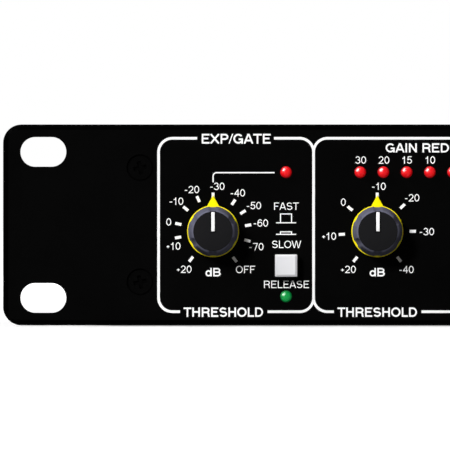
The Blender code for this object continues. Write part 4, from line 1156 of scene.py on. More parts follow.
    def piece(self, name: str, space: Matrix, body: str = "case") -> None:
        """Ends the print as one thin closed piece on the face at height 0.

        Args:
            name: the piece's name.
            space: the frame that the face is in.
            body: the CAD body that it moves with.
        """
        shape = Shape(self.flat())
        bm = shape.bm
        bmesh.ops.dissolve_limit(
            bm, angle_limit=0.001, verts=bm.verts, edges=bm.edges, use_dissolve_boundaries=False
        )
        shape.raised(bm.faces[:], self.proud)
        shape.piece(name, INK, space, body=body)


# ------------------------------------------------------------------ front
CHANNELS = ("1", "2")
CONTROLS = ("gate_threshold", "threshold", "ratio", "attack", "release_time", "output")
KNOBS = tuple(f"{control}_{channel}" for channel in CHANNELS for control in CONTROLS)
BUTTONS = tuple(
    f"{kind}_button_{channel}" for channel in CHANNELS for kind in ("gate_release", "bypass")
) + ("link_button",)
SCREWS = tuple(f"panel_screw_{n}" for n in (1, 2, 3, 4))
METER = ("30", "20", "15", "10", "6", "4", "2", "1")
# Heights of a cutter that goes right through the panel.
THROUGH = (-5.0, 1.0)


def lamp_places() -> dict[str, Point]:
    """Finds the lamps.

    Returns:
        Each lamp's place in the front's frame, by its name.
    """
    found = {}
    inset, pitch = 2.4, 5.04
    for channel in CHANNELS:
        low, high = span(f"led_row_{channel}", FRONT)
        y = (low.y + high.y) / 2
        found[f"gate_lamp_{channel}"] = (middle(f"gate_release_button_{channel}", FRONT).x, y)
        for i in range(len(METER)):
            found[f"meter_lamp_{channel}_{i + 1}"] = (high.x - inset - pitch * (7 - i), y)
        found[f"open_lamp_{channel}"] = tuple(middle(f"gate_led_{channel}", FRONT).xy)
    found["power_lamp"] = tuple(middle("power_led", FRONT).xy)
    return found


LAMP_PLACES = lamp_places()


def meter(channel: str) -> list[Point]:
    """Places of a channel's meter lamps, from the left."""
    return [LAMP_PLACES[f"meter_lamp_{channel}_{i + 1}"] for i in range(len(METER))]


@dataclass
class Screw:
    """Countersunk cross-head screw, made with its head towards +z."""

    head: float = 2.65
    rim: float = 0.2
    sunk: float = 0.3
    shank: float = 1.5
    length: float = 8.0
    thread: float = 0.5
    recess: Size = (2.9, 0.85, 1.1)
    turned: float = math.radians(13)

    def shape(self) -> Shape:
        """Turns the head and the threaded shank, and cuts the recess.

        Returns:
            The screw.
        """
        top = -self.sunk
        neck = top - self.rim - (self.head - self.shank)
        profile = [(0.0, top), (self.head - 0.08, top), (self.head, top - 0.08)]
        profile += [(self.head, top - self.rim), (self.shank, neck)]
        z = neck - self.thread
        while z > self.thread - self.length:
            profile += [(self.shank, z), (self.shank * 0.82, z - self.thread / 2)]
            z -= self.thread
        profile += [(self.shank * 0.8, -self.length), (0.0, -self.length)]
        length, width, depth = self.recess
        screw = Shape.lathe(profile, 32).crossed(length, width, top - depth, top + 1, edge=0.1)
        return screw.moved(turn(self.turned, "Z"))

    def sink(self, gap: float = 0.3) -> Shape:
        """What the panel loses to the screw.

        Args:
            gap: room round the screw.

        Returns:
            The cutter.
        """
        head, shank = self.head + gap, self.shank + gap
        rim = -self.sunk - self.rim
        profile = [(0.0, 1.0), (head, 1.0), (head, rim), (shank, rim - head + shank)]
        return Shape.lathe([*profile, (shank, -5.0), (0.0, -5.0)], 40)


@dataclass
class Faceplate:
    """Aluminium panel with a rounded front rim, rack slots and the controls' holes."""

    thickness: float = 3.0
    corner: float = 4.0
    rim: float = 1.15
    slot: Point = (10.0, 6.45)
    slot_inset: float = 8.75
    slot_rise: float = 15.875
    ear: float = 18.0
    rebate: float = 0.5
    knob_hole: float = 3.9
    lamp_hole: float = 1.3
    button_hole: Size = (5.5, 5.5, 0.3)
    switch_hole: Size = (13.8, 19.8, 0.5)
    screw: Screw = field(default_factory=Screw)

    def holes(self, right: float) -> list[Shape]:
        """Everything that is cut out of the panel.

        Args:
            right: the panel's right end.

        Returns:
            The cutters.
        """
        w, h = self.slot
        found = [
            Shape.plate(rounded(w, h, h / 2 - 0.02, 12, x, y), *THROUGH)
            for x in (self.slot_inset, right - self.slot_inset)
            for y in (-self.slot_rise, self.slot_rise)
        ]
        knob = Shape.rod(self.knob_hole, *THROUGH, 40)
        lamp = Shape.rod(self.lamp_hole, *THROUGH, 24)
        found.append(knob.at_each(over(f"{name}_knob") for name in KNOBS))
        found.append(lamp.at_each(at(*spot) for spot in LAMP_PLACES.values()))
        windows = {name: self.button_hole for name in BUTTONS}
        for name, (w, h, r) in {**windows, "power_switch": self.switch_hole}.items():
            spot = middle(name, FRONT)
            found.append(Shape.plate(rounded(w, h, r, 3, spot.x, spot.y), *THROUGH))
        found.append(self.screw.sink().at_each(over(name) for name in SCREWS))
        back = self.rebate - self.thickness
        found.append(Shape.block((self.ear, -30, -5), (right - self.ear, 30, back)))
        return found

    def on_shade_painted_rim(self, spot: Vector, high: Vector) -> bool:
        """Whether a spot is on the rim or a side of a panel with that upper right corner, where
        the paint takes painted shade.
        """
        inset = min(spot.x, high.x - spot.x, high.y - abs(spot.y))
        return inset < self.rim and spot.z > -self.thickness + 0.01

    def build(self) -> None:
        """The panel and its four screws."""
        low, high = span("front_panel", FRONT)
        width, height = high.x - low.x, high.y - low.y
        outline = rounded(width, height, self.corner, 10, width / 2)
        panel = Shape.plate(outline, -self.thickness, 0.0, self.rim, 5)
        # The rim and the sides take the paint's darker painted shade.
        panel.cut(*self.holes(high.x)).painted_shading(lambda spot: self.on_shade_painted_rim(spot, high))
        panel.piece("faceplate", PAINT, FRONT, "front_panel", sharp=20)
        for name in SCREWS:
            screw = self.screw.shape().moved(over(name))
            screw.piece(f"{name}_body", PAINTED_SCREW, FRONT, name)


@dataclass
class Knob:
    """Fluted knob with an inlaid index line, on its shaft over a pointer skirt."""

    reach: float = 13.5
    face: float = 4.27
    shoulder: float = 4.68
    radius: float = 5.43
    crown: float = 12.75
    base: float = 2.1
    flute_width: float = 0.85
    flute_depth: Point = (0.18, 0.42)
    flutes: int = 6
    index: Point = (0.74, 4.14)
    groove: Point = (0.25, 0.9)
    skirt: float = 5.63
    skirt_low: float = 0.6
    skirt_high: float = 1.8
    pointer: float = 7.85
    pointer_foot: Point = (1.33, 5.54)
    shaft: float = 2.9
    shaft_depth: float = 11.5
    shaft_flat: float = 2.2

    def body(self) -> Shape:
        """Turns the grip, then presses in its flutes and the groove of the index.

        Returns:
            The grip.
        """
        wider, rise = self.radius - self.shoulder, self.base - self.crown
        shares = (0.0, 0.05, 0.3, 0.65, 0.97)
        side = [(self.shoulder + wider * t, self.crown + rise * t) for t in shares]
        profile = [
            (0.0, self.reach), (self.face - 0.1, self.reach), (self.face, self.reach - 0.03),
            (self.shoulder - 0.03, self.crown + 0.1), *side,
            (self.radius, self.base + 0.25), (self.radius - 0.06, self.base), (0.0, self.base),
        ]
        knob = Shape.lathe(profile, 120)
        low, high = self.flute_depth
        step = math.tau / self.flutes
        for vert in knob.bm.verts:
            r = vert.co.xy.length
            if r < self.shoulder - 0.1 or vert.co.z < self.base - 0.01:
                continue
            depth = low + (high - low) * (vert.co.z - self.base) / (self.crown - self.base)
            off = (math.atan2(vert.co.y, vert.co.x) - QUARTER + step / 2) % step - step / 2
            across = abs(off) * r / self.flute_width
            if across < 1:
                vert.co.xy *= 1 - depth * math.sqrt(1 - across**2) / r
        # Painted light: everything outside the face, the chamfer and the fluted sides, takes the
        # knob's lighter painted colour.
        knob.painted_shading(lambda spot: spot.xy.length > self.face)
        gap, deep = self.groove
        w, length = self.index[0] / 2 + gap, self.index[1] + gap
        low, high = (-w, -gap, self.reach - deep), (w, length, self.reach + 1.0)
        return knob.cut(Shape.block(low, high))

    def skirt_ring(self) -> Shape:
        """Makes the skirt, a ring that runs out to the pointer's tip.

        Returns:
            The skirt.
        """
        x, y = self.pointer_foot
        start = math.degrees(math.atan2(y, x))
        round_part = arc(0, 0, self.skirt, self.skirt, 180 - start, 360 + start, 60)
        outline = [(0.0, self.pointer), *round_part]
        skirt = Shape.plate(outline, self.skirt_low, self.skirt_high, 0.12, 2)
        return skirt.cut(Shape.rod(self.shaft + 0.2, 0, 3))

    def build(self) -> None:
        """Every knob of both channels with its index, skirt and shaft."""
        body, skirt = self.body(), self.skirt_ring()
        w, length = self.index
        foot = self.reach - self.groove[1] - 0.05
        line = Shape.block((-w / 2, 0, foot), (w / 2, length, self.reach), 0.06, 2)
        flat = Shape.block((-4, self.shaft_flat, -12), (4, 4, 2))
        shaft = Shape.rod(self.shaft, -self.shaft_depth, self.base - 0.02).cut(flat)
        for name in KNOBS:
            put = FRONT @ over(f"{name}_knob")
            body.copy().piece(f"{name}_grip", KNOB, put, f"{name}_knob", name, 28)
            line.copy().piece(f"{name}_index", INDEX, put, body=name)
            shaft.copy().piece(f"{name}_shaft", STEEL, put, body=name)
            skirt.copy().piece(f"{name}_pointer", SKIRT, put, f"{name}_skirt", name)


@dataclass
class Lamps:
    """Round lamps behind the panel: domed lenses, and the bars that hold a row."""

    radius: float = 1.25
    reach: float = 1.25
    flange: float = -2.8
    foot: float = 1.85
    depth: float = -4.4
    bar_height: float = 4.4
    bar_back: float = -12.0
    gap: float = 0.02

    def lens(self) -> Shape:
        """Makes dome, barrel and flange in one moulding.

        Returns:
            A lens that glows towards its tip.
        """
        low = self.reach - self.radius
        dome = [(0.0, self.reach), *arc(0, low, self.radius, self.radius, 90, 0, 10)[1:]]
        profile = [*dome, (self.radius, self.flange), (self.foot, self.flange)]
        lens = Shape.lathe([*profile, (self.foot, self.depth), (0.0, self.depth)], 36)
        layer = lens.bm.verts.layers.float.new("glow")
        for vert in lens.bm.verts:
            vert[layer] = max(0.0, (vert.co.z - low) / self.radius)
        return lens

    def build(self) -> None:
        """Every lamp with its spacer or bar."""
        lens = self.lens()
        h, top = self.bar_height / 2, self.depth - self.gap
        for channel in CHANNELS:
            node = f"led_row_{channel}"
            row = lens.at_each(at(*spot) for spot in meter(channel))
            row.piece(f"meter_lamps_{channel}", RED_LAMP, FRONT, node)
            x, y = LAMP_PLACES[f"gate_lamp_{channel}"]
            lens.copy(at(x, y)).piece(f"gate_lamp_{channel}", RED_LAMP, FRONT)
            low, high = span(node, FRONT)
            bar = Shape.block((low.x, y - h, self.bar_back), (high.x, y + h, top), 0.2)
            bar.piece(f"lamp_bar_{channel}", MOULDING, FRONT)
        lamps = ("open_lamp_1", "gate_led_1"), ("open_lamp_2", "gate_led_2")
        for name, node in (*lamps, ("power_lamp", "power_led")):
            put = at(*LAMP_PLACES[name])
            lens.copy(put).piece(name, GREEN_LAMP, FRONT, node)
            spacer = Shape.rod(self.foot, self.bar_back, top, 24).moved(put)
            spacer.piece(f"{name}_spacer", MOULDING, FRONT)


@dataclass
class PushButtons:
    """Square white caps with a chamfer round the face, on their stems."""

    side: float = 4.8
    corner: float = 0.15
    reach: float = 5.0
    tail: float = -3.5
    chamfer: float = 0.42
    stem: float = 3.0
    depth: float = -9.0

    def build(self) -> None:
        """Every push button."""
        s, c = self.side, self.chamfer
        cap = Shape.plate(rounded(s, s, self.corner, 2), self.tail, self.reach - c)
        face = max(cap.bm.faces, key=lambda f: f.calc_center_median().z)
        for vert in cap.raised([face], c, keep=False):
            vert.co.xy *= 1 - 2 * c / s
        cap.fused(Shape.bar(self.stem, self.stem, self.depth, self.tail + 0.2, 0.1, 1))
        for name in BUTTONS:
            cap.copy().piece(f"{name}_cap", BUTTON, FRONT @ over(name), name, name, 25)


# ------------------------------------------------------------------ legends
@dataclass(frozen=True)
class Dial:
    """The scale round one knob.

    Args:
        marks: each label with its angle in degrees clockwise from the top, and where
            it stands from the knob's middle if that isn't the usual distance.
        unit: the word under the dial.
    """

    marks: Sequence[tuple]
    unit: str
    tick: Size = (7.04, 8.4, 0.62)
    letter: float = 1.6
    clear: float = 9.0
    unit_drop: float = -8.88
    unit_letter: float = 1.85
    decibels: float = 3.25

    def draw(self, ink: Print, x: float, y: float) -> None:
        """Prints the scale.

        Args:
            ink: the print that it goes on.
            x: the knob's middle.
            y: the knob's middle's height.
        """
        inner, outer, width = self.tick
        for label, angle, *spot in self.marks:
            a = math.radians(angle)
            way = Vector((math.sin(a), math.cos(a)))
            ink.stroke([tuple(Vector((x, y)) + way * r) for r in (inner, outer)], width)
            total = advance(label) * self.letter / CAPITAL
            far = self.clear + abs(way.x) * total / 2 + abs(way.y) * self.letter / 2
            dx, dy = spot or way * far
            ink.text(label, x + dx, y + dy, self.letter)
        broad = self.decibels if self.unit == "dB" else None
        ink.text(self.unit, x, y + self.unit_drop, self.unit_letter, Weight.BOLD, broad)


def even(labels: str, unit: str, turned: float = 141.8) -> Dial:
    """A dial whose labels stand at even steps between its two ends."""
    steps, words = labels.count(" "), enumerate(labels.split())
    return Dial([(word, 2 * turned * i / steps - turned) for i, word in words], unit)


DIALS = {
    "gate_threshold": Dial((
        ("+20", -141.7, -6.27, -8.23), ("+10", -100.0, -8.59, -3.2), ("0", -78.0, -9.64, 2.04),
        ("-10", -50.4, -7.95, 6.55), ("-20", -24.8, -4.58, 9.08), ("-30", 0.0, 0.93, 9.78),
        ("-40", 35.1, 5.38, 8.35), ("-50", 57.3, 8.87, 5.59), ("-60", 80.2, 10.39, 1.81),
        ("-70", 105.1, 9.4, -3.34), ("OFF", 142.4, 7.04, -8.29),
    ), "dB"),
    "threshold": Dial((
        ("+20", -141.9, -6.26, -8.26), ("+10", -94.8, -10.44, -1.05), ("0", -49.9, -7.37, 6.34),
        ("-10", 0.0, 0.37, 9.78), ("-20", 45.3, 7.59, 7.28), ("-30", 90.0, 10.79, -0.06),
        ("-40", 141.9, 6.36, -8.3),
    ), "dB"),
    "ratio": even("1 1.5 2 3 4 6 10 20 50", ":1"),
    "attack": even("0.1 0.3 1 3 10 30 60 100 200", "ms"),
    "release_time": even("0.05 0.1 0.2 0.3 0.5 1 2 3 5", "s"),
    "output": even("-20 -15 -10 -5 0 +5 +10 +15 +20", "dB"),
}


@dataclass(frozen=True)
class Title:
    """Words that break a frame's line.

    Args:
        words: what it says.
        x: its middle.
        lean: how far the break in the line stands to the right of the words' middle.
        height: height of a capital.
        tight: width of the words against the letters' usual advance.
        margin: clear line left and right of the words.
    """

    words: str
    x: float
    lean: float = 0.1
    height: float = 2.05
    tight: float = 0.978
    margin: float = 0.9

    @property
    def width(self) -> float:
        """Width of the words."""
        return advance(self.words) * self.height / CAPITAL * self.tight

    @property
    def gap(self) -> Point:
        """Where the line stops and where it goes on."""
        half = self.width / 2 + self.margin
        return (self.x + self.lean - half, self.x + self.lean + half)


@dataclass
class Legends:
    """Everything printed on the panel: frames, titles, scales and switch marks."""

    line: float = 0.57
    top: float = 18.82
    bottom: float = -18.85
    corner: float = 3.0
    letter: float = 1.61
    words: Size = (12.88, 4.6, -4.1)
    mark_line: float = 0.22
    mark_out: Point = (9.28, 11.2)
    mark_in: Point = (6.78, 7.32)
    mark_half: float = 1.2
    mark_foot: Point = (-2.18, 2.2)
    call: float = 0.28
    call_corner: float = 0.8
    frame_start: float = -11.88
    gate_width: float = 33.71
    width: float = 178.72
    master: Point = (399.0, 33.76)

    def box(
        self, ink: Print, left: float, right: float, above: Sequence[Title], *below: Title
    ) -> None:
        """Prints a round-cornered frame whose line breaks for its titles.

        Args:
            ink: the print that it goes on.
            left: middle of its left line.
            right: middle of its right line.
            above: titles in the upper line.
            below: titles in the lower line.
        """
        centre = (left + right) / 2
        ends = []
        for y, titles in ((self.top, above), (self.bottom, below)):
            for title in titles:
                ink.text(title.words, title.x, y - 0.1, title.height, Weight.BOLD, title.width)
            gaps = sorted(title.gap for title in titles) or [(centre, centre)]
            for first, second in zip(gaps, gaps[1:]):
                ink.stroke([(first[1], y), (second[0], y)], self.line)
            ends.append((gaps[0][0], gaps[-1][1]))
        for side, up, down in zip((left, right), *ends):
            path = [(up, self.top), (side, self.top), (side, self.bottom), (down, self.bottom)]
            ink.round_line(path, self.corner, self.line)

    def choice(self, ink: Print, button: str, out: str, pressed: str, name: str) -> None:
        """Prints what a button does, above it and below it.

        Args:
            ink: the print that it goes on.
            button: the button's CAD node.
            out: what it does when it stands out.
            pressed: what it does when it is in.
            name: what it is called.
        """
        x, y = middle(button, FRONT).x, middle("link_button", FRONT).y
        for word, rise in zip((out, pressed, name), self.words):
            ink.text(word, x + 0.1, y + rise, self.letter)
        for low, high in (self.mark_out, self.mark_in):
            ink.stroke([(x + foot, y + low) for foot in self.mark_foot], self.mark_line)
            left, right = x - self.mark_half, x + self.mark_half
            outline = [(left, y + low), (left, y + high), (right, y + high), (right, y + low)]
            ink.stroke(outline, self.mark_line)

    def channel(self, number: str) -> None:
        """Prints one channel: its four frames, their titles and the scales in them.

        Args:
            number: the channel's number.
        """
        xs = {c: middle(f"{c}_{number}_knob", FRONT).x for c in CONTROLS}
        y = middle(f"ratio_{number}_knob", FRONT).y
        knob = xs["gate_threshold"]
        start = knob + self.frame_start
        gate = start + self.gate_width
        timing = (xs["ratio"] + xs["attack"]) / 2
        output = (xs["release_time"] + xs["output"]) / 2
        end = start + self.width
        ink = Print()
        title = Title("EXP/GATE", knob + 5.02, -0.14, 2.15, 0.995)
        self.box(ink, start + 0.04, gate, [title], Title("THRESHOLD", knob + 2.22))
        names = Title("THRESHOLD", xs["threshold"]), Title("RATIO", xs["ratio"])
        self.box(ink, gate, timing, (), *names)
        names = Title("ATTACK", xs["attack"]), Title("RELEASE", xs["release_time"])
        self.box(ink, timing, output, (), *names)
        title = Title(f"CHANNEL {number}", (output + end) / 2)
        self.box(ink, output, end, [title], Title("OUTPUT", xs["output"]))
        ink.piece(f"print_frames_{number}", FRONT)

        places = ("gate", "compressor", "compressor", "timing", "timing", "output")
        prints = {place: Print() for place in places}
        ink = prints["gate"]
        self.choice(ink, f"gate_release_button_{number}", "FAST", "SLOW", "RELEASE")
        x, up = LAMP_PLACES[f"gate_lamp_{number}"]
        call = [(knob, y + 10.65), (knob, up - 0.12), (x - 2.5, up - 0.12)]
        ink.round_line(call, self.call_corner, self.call)
        ink = prints["compressor"]
        lamps = meter(number)
        for word, (x, up) in zip(METER, lamps):
            ink.text(word, x + 0.1, up + 2.63, self.letter)
        centre = (lamps[0][0] + lamps[-1][0]) / 2 + 0.25
        ink.text("GAIN REDUCTION", centre, lamps[0][1] + 5.27, 2.0, Weight.BOLD, 24.7)
        for control, place in zip(CONTROLS, places):
            DIALS[control].draw(prints[place], xs[control], y)
        self.choice(prints["output"], f"bypass_button_{number}", "IN", "OUT", "BYPASS")
        for place, ink in prints.items():
            ink.piece(f"print_{place}_{number}", FRONT)

    def build(self) -> None:
        """Prints both channels and the master section."""
        for number in CHANNELS:
            self.channel(number)
        ink = Print()
        left, inset = self.master
        right = span("front_panel", FRONT)[1].x - inset
        self.box(ink, left, right, (), Title("POWER", middle("power_switch", FRONT).x))
        self.choice(ink, "link_button", "DUAL", "LINK", "STEREO")
        x, y = LAMP_PLACES["power_lamp"]
        ink.text("ON", x, y + 2.9, self.letter)
        ink.piece("print_master", FRONT)


@dataclass
class PowerSwitch:
    """Snap-in mains switch: housing with its bezel, rocker and marks."""

    body: Size = (13.2, 19.2, 20.0)
    bezel: Size = (15.0, 21.2, 1.8)
    cavity: Size = (11.0, 17.2, 8.5)
    rocker: Point = (10.4, 15.2)
    face: float = 4.0
    back: float = 2.2
    angle: float = math.radians(8)
    axle: float = 2.2
    axle_radius: float = 1.0
    gap: float = 0.3
    marks: float = 4.65
    mark_line: float = 0.45

    def housing(self) -> Shape:
        """Makes the housing with its cavity and the rocker's bearings.

        Returns:
            The housing.
        """
        w, h, depth = self.body
        bw, bh, thick = self.bezel
        cw, ch, deep = self.cavity
        top = self.gap + thick
        housing = Shape.plate(rounded(bw, bh, 1.2, 5), self.gap, top, 0.5)
        housing.fused(Shape.bar(w, h, -depth, self.gap + 0.5, 0.3, 1))
        housing.cut(Shape.plate(rounded(cw, ch, 0.5, 3), -deep, top + 1))
        bore = Shape.rod(self.axle_radius + 0.2, -6.1, 6.1, 24)
        return housing.cut(bore.moved(at(0, 0, -self.axle) @ turn(QUARTER, "Y")))

    def paddle(self) -> Shape:
        """Makes the rocker about its axle, with its two flat faces.

        Returns:
            The rocker.
        """
        width, height = self.rocker
        end, rise = height / 2, self.face + height / 2 * math.tan(self.angle)
        side = [(-end, -self.back), (0, -2 * self.back), (end, -self.back)]
        side += [(end, rise), (0, self.face), (-end, rise)]
        rocker = Shape.plate(side, -width / 2, width / 2)
        rims = [e for e in rocker.bm.edges if any(abs(v.co.x) > 1e-6 for v in e.verts)]
        rocker.bevelled(rims, 0.35, 3)
        rocker.moved(Matrix(((0, 0, 1, 0), (1, 0, 0, 0), (0, 1, 0, 0), (0, 0, 0, 1))))
        return rocker.fused(Shape.rod(self.axle_radius, -5.9, 5.9, 24).moved(turn(QUARTER, "Y")))

    def build(self) -> None:
        """The housing and the rocker, which starts with its lower end pressed."""
        put = FRONT @ over("power_switch")
        self.housing().piece("switch_housing", MOULDING, put, "power_switch")
        tipped = put @ at(0, 0, -self.axle) @ turn(self.angle, "X")
        self.paddle().piece("rocker_paddle", MOULDING, tipped, "power_rocker", "power_rocker", 12)
        off, on = Print(0.04), Print(0.04)
        off.stroke(oval(0, 4.7, 1.25, 1.25), self.mark_line)
        on.stroke([(0, -6.0), (0, -3.3)], self.mark_line)
        for ink, side, name in ((off, 1, "off"), (on, -1, "on")):
            y = side * self.marks
            shift = at(0, y, self.face + self.marks * math.tan(self.angle))
            flat = tipped @ shift @ turn(side * self.angle, "X") @ at(0, -y)
            ink.piece(f"rocker_mark_{name}", flat, "power_rocker")


# ------------------------------------------------------------------ case
@dataclass
class Case:
    """Folded tray, lid and rear plate with their vents, holes and screws."""

    lip: float = 12.0
    vent: Size = (2.6, 28.0, 8.5)
    vents: int = 8
    vent_row: float = 36.0
    side_vent: float = 12.0
    side_vents: int = 4
    side_vent_start: float = 50.0
    flange: float = 16.0
    post: Point = (3.0, 6.0)
    post_inset: float = 6.0
    bore: float = 1.7
    barrel: float = 12.1
    nose: float = 4.9
    inlet: Point = (27.8, 30.2)
    through: Point = (-4.0, 1.0)
    cover_screw: Point = (2.9, 0.75)
    cross: Point = (2.6, 0.7)

    def slot(self, x: float, y: float, length: float, low: float, high: float) -> Shape:
        """A round-ended slot along y, ready to be cut out."""
        width = self.vent[0]
        return Shape.plate(rounded(width, length, width / 2 - 0.02, 6, x, y), low, high)

    def lid(self) -> Shape:
        """Folds the lid, with two rows of vents over the transformer.

        Returns:
            The lid.
        """
        low, high = span("top_cover", WORLD)
        cover = Shape.folded(low, high, (0, 0, -1), (0, -1, 0), (0, 1, 0))
        spot = middle("transformer", WORLD)
        _, length, pitch = self.vent
        slots = []
        for side in (-1, 1):
            for i in range(self.vents):
                x = spot.x + (i - (self.vents - 1) / 2) * pitch
                y = spot.y + side * self.vent_row / 2
                slots.append(self.slot(x, y, length, high.z - 3, high.z + 1))
        return cover.cut(*slots)

    def tray(self) -> Shape:
        """Folds the floor and walls, with front flanges, board posts and side vents.

        Returns:
            The tray.
        """
        low, high = span("chassis_tray", WORLD)
        tray = Shape.folded(low, high, (0, 0, 1), (0, -1, 0), (0, 1, 0))
        t = SHEET
        fittings = []
        for side in (-1, 1):
            left, right = sorted((side * (high.x - self.flange), side * (high.x - t / 2)))
            start, end = (left, low.y + 0.03, low.z + 2 * t), (right, low.y + t, high.z - t)
            fittings.append(Shape.block(start, end))
        near, far = span("main_board", WORLD)
        under, inset = low.z + t, self.post_inset
        radius, height = self.post
        post = Shape.rod(radius, under - t / 2, under + height, 24, 0.3)
        xs = (near.x + inset, (near.x + far.x) / 2, far.x - inset)
        posts = post.at_each(at(x, y) for x in xs for y in (near.y + inset, far.y - inset))
        tray.fused(*fittings, posts)

        slot = self.slot(0, 0, self.side_vent, -3, 3)
        bore = Shape.rod(self.bore, -2, 2, 20).moved(turn(QUARTER, "X"))
        holes = []
        for side in (-1, 1):
            for i in range(self.side_vents):
                y = PANEL[0].y / MM + self.side_vent_start + i * self.vent[2]
                put = at(side * high.x, y, MIDDLE / MM - t) @ turn(QUARTER, "Y")
                holes.append(slot.copy(put @ turn(QUARTER, "Z")))
        for name in SCREWS:
            spot = middle(name, WORLD)
            holes.append(bore.copy(at(spot.x, low.y, spot.z)))
        return tray.cut(*holes)

    def back(self) -> Shape:
        """Folds the rear plate, with a hole for every socket.

        Returns:
            The plate, in the object's frame.
        """
        low, high = span("rear_panel", WORLD)
        plate = Shape.folded(low, high, (0, 0, -1), (0, -1, 0))
        barrel = Shape.rod(self.barrel, *self.through, 40)
        nose = Shape.rod(self.nose, *self.through)
        kinds = {"xlr_output": barrel, "xlr_input": barrel, "sidechain_jack": nose}
        holes = [
            hole.copy(at(middle(f"{kind}_{channel}", REAR).x))
            for channel in CHANNELS for kind, hole in kinds.items()
        ]
        x = middle("mains_inlet", REAR).x
        holes.append(Shape.plate(rounded(*self.inlet, 1.0, 3, x), *self.through))
        return plate.cut(*[hole.moved(WORLD.inverted() @ REAR) for hole in holes])

    def screws(self) -> Shape:
        """Makes low cross-head screws along the lid's rear edge and down its sides.

        Returns:
            All of them.
        """
        radius, height = self.cover_screw
        profile = [(0.0, height), (radius * 0.55, height), (radius * 0.88, height * 0.66)]
        profile += [(radius, height * 0.25), (radius, 0.0), (1.4, 0.0), (1.4, -3.6), (0.0, -3.6)]
        screw = Shape.lathe(profile, 28).crossed(*self.cross, -0.2, 2)
        low, high = span("top_cover", WORLD)
        places = [
            at(share * high.x, high.y - 5, high.z) @ turn(0.4 + i * 1.1, "Z")
            for i, share in enumerate((-0.94, -0.32, 0.32, 0.94))
        ]
        for side in (-1, 1):
            for i, share in enumerate((0.1, 0.5, 0.9)):
                y = low.y + share * (high.y - low.y)
                put = at(side * high.x, y, high.z - self.lip / 2 - 0.6)
                places.append(put @ turn(side * QUARTER, "Y") @ turn(0.7 * i + side, "Z"))
        return screw.at_each(places)

    def build(self) -> None:
        """The three sheets of the case and the lid's screws."""
        self.lid().piece("lid", CASE, WORLD, "top_cover")
        self.tray().piece("tray", CASE, WORLD, "chassis_tray")
        self.back().piece("rear_plate", CASE, WORLD, "rear_panel")
        self.screws().piece("lid_screws", BLACK_OXIDE, WORLD)


